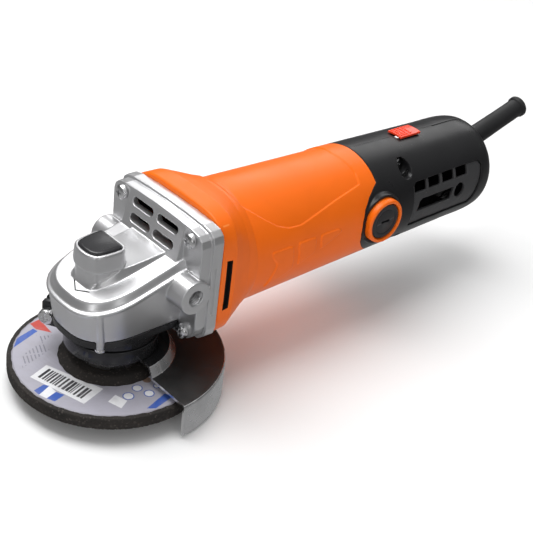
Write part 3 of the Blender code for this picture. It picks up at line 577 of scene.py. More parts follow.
def pad_outline(grow=0.0):
    half = [(7.4, -1.8 + grow), (9.0 + grow, -3.2), (8.8 + grow, -8.0)]
    half += [(8.3 + grow, -12.8), (7.2 + grow, -15.9 - grow / 2), (4.4, -17.4 - grow)]
    half += [(0, -17.8 - grow)]
    return rounded(mirrored(half), 1.6)


def sloped_ring(outline, level, slope):
    """A ring at a level, tilted about the pad's middle."""
    return [(x, y, level + slope * (y - PAD_MIDDLE_Y)) for x, y in outline]


def stadium(u0, u1, v0, v1, steps=10):
    radius = (v1 - v0) / 2
    middle = (v0 + v1) / 2
    outline = []
    for centre, first in ((u1 - radius, -90), (u0 + radius, 90)):
        for k in range(steps + 1):
            a = radians(first + 180 * k / steps)
            outline.append((centre + radius * cos(a), middle + radius * sin(a)))
    return outline


SADDLE = (
    # y, half width of the foot, height of the shoulder, height of the middle
    (24.0, 14.3, 14.1, 14.2), (19.5, 14.2, 13.4, 13.5), (9.0, 13.9, 11.8, 12.1),
    (0.0, 13.4, 10.5, 10.9), (-4.0, 13.1, 9.9, 10.8), (-8.0, 12.6, 8.4, 10.6),
    (-12.0, 11.6, 6.4, 10.4), (-16.0, 10.2, 4.6, 9.6), (-18.2, 8.6, 2.8, 7.6),
    (-19.4, 6.6, 1.4, 2.2),
)


def saddle():
    """The raised track from the vents to the button, crisp at its sides and rounded in front."""
    rings = []
    for y, foot, shoulder, middle in curve(SADDLE, 6):
        inset = 0.5 + 0.22 * max(0.0, shoulder - roof(y))
        reach = foot - inset
        half = []
        for k in range(15):
            t = k / 14
            share = 0.5 + 0.5 * cos(pi * t)
            half.append((reach * t, shoulder + (middle - shoulder) * share))
        half += [(foot, min(shoulder - 0.1, roof(y) - 0.3)), (foot, roof(y) - 2.6)]
        rings.append([(x, y, z) for x, z in mirrored(half)])
    return loft("saddle", rings)


def side_span(side, near, far):
    return sorted((side * near, side * far))


def pad_loft(sections):
    """A loft in the button's outline. A section is how much wider it is, its level and slope."""
    return loft("pad", [sloped_ring(pad_outline(grow), *place_at) for grow, *place_at in sections])


VENT_WALL = ((22.9, 30.4), (25.0, 30.4), (25.0, 8.0), (18.2, 8.0), (18.8, 12.5))
COLLAR = (
    (2.3, 9.9, 0.0), (2.6, 10.6, 0.0), (2.0, 18.0, COLLAR_SLOPE), (1.7, 18.8, COLLAR_SLOPE),
    (1.2, 19.1, COLLAR_SLOPE),
)


def case_solids():
    parts = [
        prism("flange_front", flange_outline(0), 22.8, 29.5, axis="Y"),
        prism("flange_rear", flange_outline(1.3), 28.7, 34.7, axis="Y"),
        prism("vent_wall", VENT_WALL, -21.8, 21.8, axis="X"),
        saddle(),
        pad_loft(COLLAR),
        pad_loft(((1.5, -1.0, 0.0), (1.5, 11.0, 0.0))),
        across("boss", 8.6, 1, -HANDLE_FACE, HANDLE_FACE, HANDLE_Y, HANDLE_Z),
    ]
    for side in (1, -1):
        parts.append(rod("rib", 2.0, (side * 18.2, -19.0, -20.9), (side * 19.8, -21.6, -3.6)))
        parts.append(rod("foot", 2.1, (side * 18.0, -19.2, -25.0), (side * 18.2, -19.2, -20.0)))
    return parts


def case_hollows():
    air = box("air", (-20, 24.9, 14.0), (20, 37.0, 28.2))
    cut(air, rod("seat_wall", 17.2, (0, 24.0, 0), (0, 38.0, 0)))
    hollows = [
        turned("chamber", [(0, -0.8), (19.6, -0.8), (20.5, -1.8), (20.5, -23), (0, -23)]),
        rod("bush_bore", 6.1, (0, 0, -3), (0, 0, 10.6)),
        rod("pinion_bore", 7.0, (0, 10, 0), (0, 26, 0)),
        rod("bearing_seat", 15.2, (0, 24.6, 0), (0, 37, 0)),
        rod("spring_bore", 3.9, (0, LOCK_Y, 2.8), (0, LOCK_Y, 12)),
        rod("pin_bore", 1.8, (0, LOCK_Y, -3), (0, LOCK_Y, 5)),
        air,
        pad_loft(((0.3, 8.2, 0.0), (0.3, 25.0, 0.0))),
    ]
    for side in (1, -1):
        for low, inner, outer in ((23.2, 1.5, 17.6), (15.2, 1.2, 17.0)):
            near, far = side_span(side, inner, outer)
            hollows.append(prism("vent", stadium(near, far, low, low + 4.4), 15, 25.3, axis="Y"))
        hollows.append(across("handle_bore", THREAD_OUT, side, 23.5, 40, HANDLE_Y, HANDLE_Z))
        near, far = side_span(side, 35.4, 40)
        hollows.append(box("side_slit", (near, 31, -14), (far, 32, 12)))
    for x, z in CASE_SCREWS:
        hollows.append(rod("screw_hole", 2.4, (x, 20, z), (x, 37, z)))
    return hollows


HEAD_SECTIONS = (
    # half width, reach to the front, how far below the roof
    (26.0, 29.5, 5.6), (26.6, 30.2, 4.9), (26.6, 30.2, 4.3), (26.1, 29.7, 3.9), (24.7, 28.3, 3.5),
    (23.2, 26.8, 0.5), (22.6, 26.2, 0.0),
)


def gear_case():
    rings = [head_ring(wide, front, drop=drop) for wide, front, drop in HEAD_SECTIONS]
    case = loft("case", [head_ring(23.0, 27.6, level=HEAD_BOTTOM), *rings])
    join(case, *case_solids())
    cut(case, *case_hollows())
    remesh(case, CAST_GRAIN, 3)

    # Faces inside the air passage behind the vents take the near-black shadow material: painted
    # shade.
    def painted_shade_passage(c):
        x, y, z = c.T
        return (y > 25.2) & (abs(x) < 20.4) & (z > 13.8) & (z < 28.5)

    place(case, "gear_case", (CAST, DARK), choose=painted_shade_passage)
    for side, word in SIDES:
        end = HANDLE_FACE - 0.9
        rings = [(THREAD_OUT - 0.02, 24.0), (THREAD_OUT - 0.02, end)]
        for k in range(THREAD_TURNS):
            top = end - THREAD_PITCH * k
            rings += [(3.4, top - 0.5), (3.4, top - 0.62), (3.95, top - 1.2)]
        ring = turned("thread", [(r, side * h) for r, h in rings], axis="X", steps=64)
        shift(ring, (0, HANDLE_Y, HANDLE_Z))
        place(ring, f"thread_{word}", STEEL, 50, nodes=())


def arrow_mark():
    """A plain arrow head on the roof, which shows the way the wheel turns."""
    corners = [Vector(p) for p in ((-4.4, -19.4), (2.5, -23.4), (8.6, -19.8))]
    strokes = []
    for first, last in zip(corners, corners[1:]):
        along = (last - first).normalized()
        side = Vector((-along.y, along.x)) * 0.28
        outline = [first + side, first - side, last - side, last + side]
        rings = [[(p.x, p.y, roof(p.y) + lift) for p in outline] for lift in (-1.0, 0.12)]
        strokes.append(loft("stroke", rings))
    join(*strokes)
    place(strokes[0], "arrow_mark", DARK, nodes=())


def lock_button():
    top = ((0.0, 0.95), (-0.25, 0.5), (-0.8, 0.2), (-1.8, 0.1))
    pad = pad_loft([(0.0, 13.75, 0.0), *((grow, PAD_TOP - down, PAD_SLOPE) for grow, down in top)])
    place(pad, "lock_button", PAD, 35, "spindle_lock")


def lock_spring():
    """The spring under the button."""
    rings = []
    for k in range(SPRING_STEPS + 1):
        a = 2 * pi * SPRING_COILS * k / SPRING_STEPS
        out = Vector((cos(a), sin(a), 0))
        centre = Vector((0, LOCK_Y, 3.7 + 7.9 * k / SPRING_STEPS)) + out * 2.9
        turns = [out * cos(b) + Vector((0, 0, sin(b))) for b in all_round(10)]
        rings.append([centre + turn * WIRE_RADIUS for turn in turns])
    spring = loft("spring", rings)
    place(spring, "lock_spring", SPRING)
    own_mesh(spring)


def bearing_cover():
    outline = head_outline(23.0, 27.6, back=22.3, count=96)
    inner = head_outline(22.5, 27.1, back=21.8, count=96)
    levels = ((inner, -25.2), (outline, -24.7), (outline, -21.7), (inner, -21.35))
    plate = loft("plate", [[(x, y, level) for x, y in ring] for ring, level in levels])
    neck = [(0, -24.0), (22.4, -24.0), (22.4, -29.3), (21.0, -29.3), (21.0, -36.4), (0, -36.4)]
    join(plate, turned("neck", soft(neck, 0.35), steps=256))
    pocket = rod("bearing_pocket", 16.2, (0, 0, -32.2), (0, 0, -20), 128)
    cut(plate, pocket, rod("mouth", 9.4, (0, 0, -38), (0, 0, -30), 96))
    place(plate, "bearing_cover", GLOSS_BLACK, 30)
    head = [(0, -14), (1.25, -14), (1.25, -25.2), (2.5, -25.2), (2.5, -26.5), (0, -27.25)]
    for index, (x, y) in enumerate(COVER_CORNERS, 1):
        node = f"cover_plate_screw_{index}"
        screw(node, soft(head, 0.3), "Z", (x, y, 0), -27.3, (1.4, 0.35, 0.8), 35, 48)


def cross(head, centre, axis, reach, half, depth):
    """Cuts a cross recess into a screw head."""
    for long, short in ((reach, half), (half, reach)):
        size = {"Z": (long, short, depth), "Y": (long, depth, short), "X": (depth, long, short)}
        low = [c - s for c, s in zip(centre, size[axis])]
        high = [c + s for c, s in zip(centre, size[axis])]
        cut(head, box("drive", low, high))


def screw(node, profile, axis, at, top, recess, angle=30, steps=64, material=None):
    """A turned screw with a cross recess, whose head ends at top along its axis."""
    head = turned("screw", profile, axis=axis, steps=steps)
    shift(head, at)
    centre = list(at)
    centre["XYZ".index(axis)] = top
    cross(head, centre, axis, *recess)
    place(head, node, material or CHROME, angle)


def case_screws():
    profile = [(0, 46), (2.05, 46), (2.05, 22.6), (3.9, 22.6), (3.9, 21.6), (3.5, 20.6)]
    profile += [(2.5, 19.95), (1.2, 19.68), (0, 19.6)]
    for index, (x, z) in enumerate(CASE_SCREWS, 1):
        screw(f"case_screw_{index}", profile, "Y", (x, 0, z), 19.6, (2.2, 0.5, 1.5))


# Guard, clamp and wheel -----------------------------------------------------------------------

def guard():
    top = GUARD_HIGH.z - 5.2
    profile = [
        (21.4, -37.4), (28.8, -37.4), (31.8, top), (55.6, top), (56.6, top - 0.4),
        (GUARD_RADIUS, top - 1.4), (GUARD_RADIUS, -60.3), (55.7, -60.3), (55.7, top - 1.8),
        (55.2, top - 1.3), (31.0, top - 1.3), (28.1, -38.7), (21.4, -38.7),
    ]
    shield = turned("shield", rounded(profile, 0.5, 3), steps=360)
    cut(shield, box("opening", (-70, -70, -70), (70, GUARD_LOW.y, -30)))

    def finish(c):
        """Enamel on top, bare sheet on the rim, the cone and the underside, gloss on the collar."""
        r = np.hypot(c[:, 0], c[:, 1])
        out = np.zeros(len(c))
        out[(r > 56.2) | ((r > 28.75) & (r < 31.75)) | (c[:, 2] < top - 0.9)] = 1
        out[(r < 28.75) & (c[:, 2] > -38.5)] = 2
        return out

    skins = (ENAMEL, BRIGHT, GLOSS_BLACK)
    place(shield, "wheel_guard", skins, 30, "guard", choose=finish)


def clamp():
    out = Vector((cos(EAR_ANGLE), sin(EAR_ANGLE), 0))
    side = Vector((-out.y, out.x, 0))
    up = Vector((0, 0, 1))

    def plate(name, outline, near, far):
        """An outline of (radius, height) at the ears' angle, between two distances across it."""
        return loft(name, [[out * r + side * w + up * z for r, z in outline] for w in (near, far)])

    band = rounded([(23.2, BAND_TOP), (23.2, -37.0), (21.4, -37.0), (21.4, BAND_TOP)], 0.4)
    band = turned("band", band, steps=256)
    ear = [(22.2, -36.6), (34.9, -36.6), (34.9, -22.6), (28.9, -22.6), (28.9, BAND_TOP)]
    ear = rounded([*ear, (22.2, BAND_TOP)], 1.6, 6)
    for near, far in ((EAR_GAP, 3.6), (-3.6, -EAR_GAP)):
        join(band, plate("ear", ear, near, far))
    middle = out * EAR_MIDDLE + up * -29.4
    slit = plate("slit", ((20, -38), (26, -38), (26, -26), (20, -26)), -EAR_GAP, EAR_GAP)
    cut(band, rod("ear_hole", 2.7, middle - side * 9, middle + side * 9), slit)
    place(band, "guard_clamp_band", GLOSS_BLACK, 30, "guard")

    turn = Matrix.Translation(middle) @ Matrix((out, up, side)).transposed().to_4x4()
    profile = [(0, 8.4), (3.4, 8.4), (4.0, 7.7), (4.0, 4.0), (2.3, 4.0), (2.3, -9.3), (0, -9.3)]
    bolt = turned("screw", [(r, -h) for r, h in soft(profile, 0.25)], steps=64)
    cross(bolt, (0, 0, -8.4), "Z", 2.3, 0.5, 1.2)
    bolt.data.transform(turn @ Matrix.Rotation(pi, 4, "X"))
    place(bolt, "guard_clamp_screw", CHROME, 35, "guard")
    corners = [k * pi / 3 for k in range(6)]
    hexagon = rounded([(4.4 * cos(a), 4.4 * sin(a)) for a in corners], 0.3)
    nut = prism("nut", hexagon, -4.0, -7.4)
    cut(nut, rod("nut_bore", 2.5, (0, 0, -9), (0, 0, 0)))
    nut.data.transform(turn)
    place(nut, "guard_clamp_nut", CHROME, 30, "guard")


def grinding_wheel():
    profile = [
        (50.0, -47.2), (50.0, -53.5), (24.5, -53.5), (20.5, -50.0), (8.2, -50.0), (8.2, -44.3),
        (21.5, -44.3), (25.0, -47.2),
    ]
    profile = densified(rounded(profile, 0.5, 2), 0.55)
    wheel = turned("wheel", profile, steps=560)
    points = points_of(wheel)
    radius = np.hypot(points[:, 0], points[:, 1])
    rough = radius > 25.5
    spread = rng.normal(0.0, 0.055, len(points)) - 0.02
    worn = abs(rng.normal(0.0, 0.10, len(points))) * (radius > 49.3)
    points[:, 2] += np.where(points[:, 2] > -50, -abs(spread), abs(spread)) * rough
    shrink = 1 - (worn + abs(spread) * (radius > 49.0)) / np.maximum(radius, 1)
    points[:, :2] *= shrink[:, None]
    set_points(wheel, points)

    def bore(c):
        return np.hypot(c[:, 0], c[:, 1]) < 9.0

    place(wheel, "grinding_wheel", (GRIT, STEEL), None, SPUN, choose=bore)


def densified(outline, step):
    """The closed outline with points no further apart than step."""
    made = []
    for first, last in zip(outline, outline[1:] + outline[:1]):
        count = max(1, math.ceil(math.dist(first, last) / step))
        for k in range(count):
            t = k / count
            made.append((first[0] * (1 - t) + last[0] * t, first[1] * (1 - t) + last[1] * t))
    return made


def inside(outline, u, v):
    """Which points lie inside a closed outline."""
    found = np.zeros(u.shape, bool)
    for (u0, v0), (u1, v1) in zip(outline, outline[1:] + outline[:1]):
        if v0 == v1:
            continue
        crosses = (v0 > v) != (v1 > v)
        found ^= crosses & (u < (u1 - u0) * (v - v0) / (v1 - v0) + u0)
    return found


def edge_distance(outline, u, v):
    """The distance of each point from a closed outline, negative outside it."""
    best = np.full(u.shape, 1e9)
    for (u0, v0), (u1, v1) in zip(outline, outline[1:] + outline[:1]):
        du = u1 - u0
        dv = v1 - v0
        t = np.clip(((u - u0) * du + (v - v0) * dv) / max(du * du + dv * dv, 1e-9), 0, 1)
        best = np.minimum(best, np.hypot(u - u0 - t * du, v - v0 - t * dv))
    return np.where(inside(outline, u, v), best, -best)


PAPER_GREY = (0.40, 0.39, 0.45)
INK_WHITE = (0.80, 0.80, 0.82)
INK_BLUE = (0.045, 0.11, 0.42)
INK_RED = (0.50, 0.05, 0.035)
INK_DARK = (0.03, 0.03, 0.035)
INK_FAINT = (0.20, 0.20, 0.24)
INK_BROWN = (0.22, 0.13, 0.08)
INK_RIM = (0.28, 0.27, 0.31)
BAR_BLOCK = [(-5.3, -42.0), (-9.2, -30.6), (21.0, -18.3), (25.3, -32.1)]
PATCHES = (
    (INK_WHITE, BAR_BLOCK),
    (INK_BLUE, [(4.4, -45.9), (3.1, -39.9), (5.4, -38.1), (8.5, -45.7)]),
    (INK_WHITE, [(8.5, -45.7), (5.4, -38.1), (10.9, -37.9), (12.5, -44.1)]),
    (INK_BLUE, [(12.5, -44.1), (10.9, -37.9), (14.9, -35.9), (16.6, -42.3)]),
    (INK_BLUE, [(-29.6, -36.5), (-35.3, -19.4), (-38.4, -20.2), (-35.6, -30.8)]),
    (INK_RED, [(-42.9, -19.2), (-43.7, -13.0), (-30.5, -14.2), (-37.2, -19.2)]),
    (INK_WHITE, [(30.0, -21.9), (27.7, -16.2), (34.4, -14.1), (37.4, -19.6)]),
    (INK_BLUE, [(43.9, -9.7), (39.5, 4.0), (43.4, 5.9), (46.2, -6.2)]),
)
RULED = [(-21.8, -37.0), (-28.7, -14.9), (-33.0, -21.8), (-18.7, -22.9), (-13.2, -41.3)]
RINGS = ((31.8, -11.6, 2.8), (29.1, -4.6, 2.6), (35.4, -2.2, 2.6), (32.8, 4.2, 1.8))


def print_bars(ink, x, y):
    """Irregular bars, which encode nothing."""
    x0, y0 = BAR_BLOCK[0]
    along = Vector(BAR_BLOCK[3]) - Vector(BAR_BLOCK[0])
    length = along.length
    along.normalize()
    run = (x - x0) * along.x + (y - y0) * along.y
    deep = -(x - x0) * along.y + (y - y0) * along.x
    block = inside(BAR_BLOCK, x, y) & (deep > 2.2) & (deep < 10.6)
    start = 2.6
    while start < length - 2.5:
        wide = rng.choice((0.45, 0.7, 1.1, 1.5))
        ink[block & (run > start) & (run < start + wide)] = INK_DARK
        start += wide + rng.choice((0.5, 0.8, 1.1))


def ink_at(x, y):
    """The colour printed at each point: plain blocks, bars, rings and rules, with no lettering."""
    ink = np.tile(PAPER_GREY, (len(x), 1))
    for colour, outline in PATCHES:
        ink[inside(outline, x, y)] = colour
    print_bars(ink, x, y)
    rule = (np.mod(x * 0.35 + y * 0.94, 1.9) < 0.6) & (np.mod(x * 0.94 - y * 0.35, 7.3) < 6.2)
    ink[inside(RULED, x, y) & rule] = INK_FAINT
    for cx, cy, size in RINGS:
        away = np.hypot(x - cx, y - cy)
        ink[away < size] = INK_WHITE
        ink[(away < size) & (away > size - 0.5)] = INK_BLUE
    ink[np.hypot(x - 26.5, y - 3.0) < 2.2] = INK_BROWN
    ink[np.hypot(x, y) > 47.0] = INK_RIM
    return ink


def wheel_label():
    """The printed paper ring on the wheel: a little wavy, and frayed at its edges."""
    rows = 96
    steps = 1300
    turn = np.arange(steps) * 2 * pi / steps
    frayed = 47.6 + 0.25 * np.sin(turn * 37) * np.sin(turn * 11 + 1) + rng.normal(0, 0.05, steps)
    hollow = 25.6 + 0.15 * np.sin(turn * 23)
    points = []
    for i in range(rows):
        t = i / (rows - 1)
        radius = hollow * (1 - t) + frayed * t
        wave = 0.035 * np.sin(radius * 1.7 + turn * 13) * np.sin(turn * 29 + radius)
        x = radius * np.cos(turn)
        y = radius * np.sin(turn)
        points.append(np.stack([x, y, -47.08 + wave - 0.10 * (t > 0.995)], axis=1))
    grid = np.concatenate(points)
    faces = []
    for i in range(rows - 1):
        here = i * steps
        for k in range(steps):
            n = (k + 1) % steps
            faces.append((here + k, here + steps + k, here + steps + n, here + n))
    mesh = bpy.data.meshes.new("label")
    mesh.from_pydata(grid.tolist(), [], faces)
    colours = mesh.attributes.new("ink", "FLOAT_COLOR", "POINT")
    ink = np.concatenate([ink_at(grid[:, 0], grid[:, 1]), np.ones((len(grid), 1))], axis=1)
    colours.data.foreach_set("color", ink.astype(np.float32).ravel())
    place(linked("label", mesh), "wheel_label", PAPER, body=SPUN, nodes=())


def wheel_fittings():
    profile = [
        (13, -38.6), (16.6, -39.6), (17, -40.4), (17, -44.0), (7.8, -44.0), (7.8, -46.6),
        (5.2, -46.6), (5.2, -38.6),
    ]
    flange = turned("flange", rounded(profile, 0.3, 3), steps=160)
    place(flange, "inner_flange", STEEL, 30, SPUN)
    profile = [
        (7.8, -47.0), (7.8, -50.3), (16, -50.3), (16, -53.6), (15.4, -54.2), (10.4, -54.2),
        (10.4, -56.4), (9.8, -57.0), (5.2, -57.0), (5.2, -47.0),
    ]
    nut = turned("nut", rounded(profile, 0.3, 3), steps=160)
    for k in range(4):
        a = radians(45 + 90 * k)
        x, y = 13.0 * cos(a), 13.0 * sin(a)
        cut(nut, rod("spanner_hole", 1.7, (x, y, -58), (x, y, -51.8)))
    place(nut, "lock_nut", STEEL, 30, SPUN)
    profile = [(0, 9.2), (3.4, 9.2), (3.9, 8.7), (3.9, 0.8), (5.9, 0.8), (5.9, -32.4)]
    profile += [(7.6, -32.4), (7.6, -38.2), (4.9, -38.2)]
    for k in range(14):
        top = -39.0 - 1.5 * k
        profile += [(4.9, top), (4.9, top - 0.2), (4.15, top - 0.85), (4.9, top - 1.45)]
    profile += [(4.9, -60.2), (4.2, -61.0), (0, -61.0)]
    spindle = turned("spindle", profile, steps=96)
    place(spindle, "spindle", STEEL, 25, SPUN)


# Motor housing --------------------------------------------------------------------------------

def body_radius(y):
    """The round body tapers gently towards the rear."""
    return 33.0 - (y - 60.0) * 3.8 / 160.0


HOUSING_SHAPE = np.array((
    # y, half width, top, bottom, squareness
    (35.0, 35.6, 34.6, 33.6, 4.6), (35.4, 36.0, 35.1, 34.0, 4.5), (36.0, 36.2, 35.4, 34.2, 4.4),
    (44.0, 36.2, 35.8, 34.4, 4.0), (49.0, 35.0, 35.0, 33.9, 3.2), (55.0, 33.7, 33.8, 33.4, 2.5),
    (61.0, 33.1, 33.1, 33.1, 2.0),
))
TONGUE = (
    (151.0, -20.2), (147.4, -18.2), (142.6, -14.0), (138.8, -9.2), (137.0, -3.0), (137.0, 4.0),
    (138.8, 10.4), (143.0, 15.4), (148.0, 19.0), (151.0, 20.5),
)
STEP_LINE = (
    # y, degrees up from the side: where the recessed top panel starts
    (59.7, 60.3), (64.6, 50.9), (70.8, 40.4), (76.8, 32.4), (84.0, 27.5), (92.0, 26.5),
    (104.6, 31.7), (118.9, 37.8), (132.0, 42.6), (138.7, 45.2), (140.2, 56.9), (139.2, 71.0),
    (137.6, 90.0),
)
FINGER_PADS = (
    ((85.1, 10.7), (70.6, 11.5), (71.5, 4.9), (74.7, -1.0), (70.0, -27.9), (86.7, -14.1)),
    ((101.4, 11.0), (88.8, 11.7), (90.2, -12.9), (101.3, -4.2)),
    ((104.8, 11.0), (118.3, 11.2), (120.6, 7.0), (105.1, -3.9)),
)
PER_DEGREE = radians(1) * 32.0


def tongue_y(z):
    known = np.array(TONGUE)
    return np.interp(z, known[:, 1], known[:, 0])


def smooth_step(value, low, high):
    t = np.clip((value - low) / (high - low), 0, 1)
    return t * t * (3 - 2 * t)


def housing_relief(y, degrees):
    """How far the housing's face stands out from its plain shape."""
    up = np.where(degrees > 90, 180 - degrees, degrees) * PER_DEGREE

    def unrolled(outline):
        return [(y0, d * PER_DEGREE) for y0, d in outline]

    panel = unrolled([*STEP_LINE, (137.6, 110), (57.6, 110), (57.6, 75)])
    relief = -RECESS * smooth_step(edge_distance(panel, y, up), -0.35, 0.35)
    for pad in FINGER_PADS:
        outline = rounded(unrolled(pad), 1.6, 4)
        relief += 0.7 * smooth_step(edge_distance(outline, y, up), -0.2, 0.5)
    return relief


def round_over(away, radius):
    """How far an edge rounded to a radius falls back, at a distance from its end."""
    share = np.clip(1 - away / radius, 0, 1)
    return radius * (1 - np.sqrt(np.clip(1 - share**2, 0, 1)))


def housing_outer(rows, turn):
    """The housing's outer face: squarish in front, round behind, with relief and inlet slots."""
    c, s = np.cos(turn), np.sin(turn)
    end = np.minimum(tongue_y(body_radius(145.0) * s), HOUSING_END) - 0.15
    share = np.linspace(0, 1, rows)[:, None]
    y = HOUSING_FRONT + share * (end - HOUSING_FRONT)[None, :]
    shape = [np.interp(y, HOUSING_SHAPE[:, 0], HOUSING_SHAPE[:, i]) for i in range(1, 5)]
    round_part = y > ROUND_FROM
    radius = body_radius(y) + 0.076 * (y < 100) * (1 - (y - ROUND_FROM) / 39)
    half_width, top, bottom = (np.where(round_part, radius, size) for size in shape[:3])
    power = np.where(round_part, 2.0, shape[3])
    x = half_width * np.sign(c) * abs(c) ** (2 / power)
    z = np.where(s > 0, top, bottom) * np.sign(s) * abs(s) ** (2 / power)
    relief = housing_relief(y, np.degrees(np.arctan2(z, x))) * smooth_step(y, 56.0, 59.0)
    rim = round_over(end - y, 0.45) + round_over(y - HOUSING_FRONT, 0.5)
    slot = (abs(x) > 26) & (y > SLOT_FRONT) & (y < SLOT_REAR) & (abs(z) < SLOT_HALF)
    deep = 2.2 * smooth_step(np.minimum(y - SLOT_FRONT, SLOT_REAR - y), 0.0, 0.3) * slot
    scale = 1 + (relief - rim - deep) / np.maximum(np.hypot(x, z), 1e-6)
    return np.stack([x * scale, y, z * scale], axis=2)


def motor_housing():
    columns = 560
    turn = np.arange(columns) * 2 * pi / columns
    outer = housing_outer(340, turn)
    rings = list(outer)
    for share, radius in ((1.0, 30.4), (0.55, 30.6), (0.25, 30.6), (0.0, 29.6)):
        y = HOUSING_FRONT + share * (outer[-1][:, 1] - HOUSING_FRONT)
        limit = np.minimum(radius, body_radius(y) - 2.4)
        rings.append(np.stack([limit * np.cos(turn), y, limit * np.sin(turn)], axis=1))
    here = np.arange(len(rings))[:, None] * columns + np.arange(columns)[None, :]
    along = np.roll(here, -1, axis=0)
    faces = np.stack([here, np.roll(here, -1, axis=1), np.roll(along, -1, axis=1), along], axis=2)
    housing = scratch("housing", np.concatenate(rings), faces.reshape(-1, 4).tolist(), merge=False)

    # Faces in the side slots take the near-black shadow material: painted shade in the recess.
    def painted_shade_slots(c):
        x, y, z = abs(c.T)
        low = (x < 35.95) & (x > 26) & (z < SLOT_HALF + 0.2)
        return low & (y > SLOT_FRONT - 0.1) & (y < SLOT_REAR + 0.1)

    place(housing, "motor_housing", (ORANGE, DARK), 40, choose=painted_shade_slots)


# Rear cover -----------------------------------------------------------------------------------

def cover_outline(grow):
    """The rear cover from the side, with the lobe that reaches round the brush cap."""
    edge = curve([(y - grow, z + math.copysign(grow, z)) for y, z in reversed(TONGUE)], 5)
    front = HOUSING_END - grow
    return [(front, 50.0), *edge, (front, -50.0), (270.0, -50.0), (270.0, 50.0)]


def rear_shell(out, thick, steps=192):
    """The rear cover's cup, turned round the motor axis. out is how far its face lies inside."""
    front, back = ((body_radius(y), y) for y in (136, 220))
    start = (body_radius(205) - out, 205)
    tail = curve(
        [
            start, (back[0] - out, 220), (29.1 - out, 234), (28.6 - out, 241.5), (27.2 - out, 247),
            (23.4 - out, 251.2), (15.0, 253.2 - out), (0, 253.7 - out),
        ],
        6,
    )
    inner = [
        (0, 248.8), (14.0, 248.2), (20.0, 246.6), (24.4, 241.6), (26.4, 233.0),
        (back[0] - thick, 220), (front[0] - thick, 136),
    ]
    profile = [(front[0] - out, 136), *tail[:-1], (0, 253.7 - out), *inner]
    profile = [p for i, p in enumerate(profile) if i == 0 or math.dist(p, profile[i - 1]) > 0.05]
    turn = all_round(steps)
    rings = [[(r * cos(a), y, r * sin(a)) for a in turn] for r, y in profile]
    return loft("shell", rings, ends=False)


def panel_outline(inset):
    low, high = -11.6 + inset, 14.3 - inset
    front, back = 178.2 + inset, 238.6 - inset
    outline = [
        (front + 1.0, low), (back - 6.6, low), (back - 4.4, low + 3.2), (back - 1.2, 4.0),
        (back, high - 3.0), (back - 3.0, high), (front + 2.0, high), (front, high - 2.0),
        (front, low + 1.0),
    ]
    return rounded(outline, 0.7)


def snapped(obj, out, reach=0.14):
    """Puts the points that a remesh left near the turned face back exactly on it."""
    points = points_of(obj)
    radius = np.hypot(points[:, 0], points[:, 2])
    target = body_radius(points[:, 1]) - out
    reach = np.where((abs(points[:, 0]) < 1.0) & (abs(points[:, 2]) > 25), 0.8, reach)
    near = (abs(radius - target) < reach) & (points[:, 1] < 219)
    scale = np.where(near, target / np.maximum(radius, 1e-6), 1.0)
    points[:, 0] *= scale
    points[:, 2] *= scale
    set_points(obj, points)


def rear_cover(side, word):
    near, far = side_span(side, 0.03, 60)
    cover = prism("cover", cover_outline(-0.15), near, far, axis="X")
    keep(cover, rear_shell(0.0, 2.5))
    join(cover, across("brush_boss", 14.5, side, 25.6, 30.4, BRUSH_Y, BRUSH_Z, 96))
    cutters = []
    for z in (COVER_SCREW_Z, -COVER_SCREW_Z):
        boss = across("screw_boss", 6.0, side, 0.15, 19.0, COVER_SCREW_Y, z)
        keep(boss, turned("trim", [(0, 160), (30.0, 160), (29.8, 190), (0, 190)], axis="Y"))
        join(cover, boss)
        floor = 12.7 if side > 0 else 17.5
        cutters.append(across("recess", 4.5, side, floor, 40, COVER_SCREW_Y, z))
        cutters.append(across("hole", 1.9, side, -2, 14, COVER_SCREW_Y, z))
    cutters.append(across("brush_hole", CAP_RADIUS + 0.3, side, 15, 40, BRUSH_Y, BRUSH_Z, 96))
    cutters.append(across("pocket", 12.9, side, 28.4, 40, BRUSH_Y, BRUSH_Z, 96))
    near, far = side_span(side, 15, 45)
    cutters.append(prism("panel_hole", panel_outline(0.0), near, far, axis="X"))
    cutters.append(box("knob_slot", (-2.9, 186.4, 20), (2.9, 201.6, 40)))
    axis = Vector((0, cos(BOOT_TILT), sin(BOOT_TILT)))
    cutters.append(rod("boot_hole", 6.4, BOOT_BASE, BOOT_BASE + axis * 40))
    cut(cover, *cutters)
    remesh(cover, COVER_GRAIN, 3)
    snapped(cover, 0.0)
    place(cover, f"rear_cover_{word}", BLACK)


def vent_panel(side, word):
    near, far = side_span(side, 12, 45)
    panel = prism("panel", panel_outline(0.3), near, far, axis="X")
    keep(panel, rear_shell(PANEL_DEPTH, 2.5))
    near, far = side_span(side, 8, 50)
    openings = []
    for k in range(4):
        y = 180.2 + 12.0 * k
        openings.append([(y - 0.7, 8.3), (y + 9.6, 8.3), (y + 10.0, 15.0), (y - 0.3, 15.0)])
    slot = [(182.6, -3.0), (212.2, -3.0), (214.0, 4.0), (186.0, 4.0), (184.2, 3.0)]
    openings.append(rounded(slot, 0.6))
    cutters = [prism("opening", opening, near, far, axis="X") for opening in openings]
    cut(panel, *cutters, across("round_hole", 4.4, side, 8, 50, 219.4, 0.6))
    remesh(panel, PANEL_GRAIN, 2)
    snapped(panel, PANEL_DEPTH)
    place(panel, f"vent_panel_{word}", GREY)


def rear_covers():
    for side, word in SIDES:
        rear_cover(side, word)
        vent_panel(side, word)


def cover_screws():
    profile = [(0, 15.4), (2.6, 15.35), (3.4, 15.0), (3.7, 14.4), (3.7, 13.0), (1.7, 13.0)]
    profile += [(1.7, -11.0), (0, -11.0)]
    for word, z in (("upper", COVER_SCREW_Z), ("lower", -COVER_SCREW_Z)):
        at = (0, COVER_SCREW_Y, z)
        screw(f"cover_screw_{word}", profile, "X", at, 15.4, (2.1, 0.45, 1.2), material=CHROME_X)


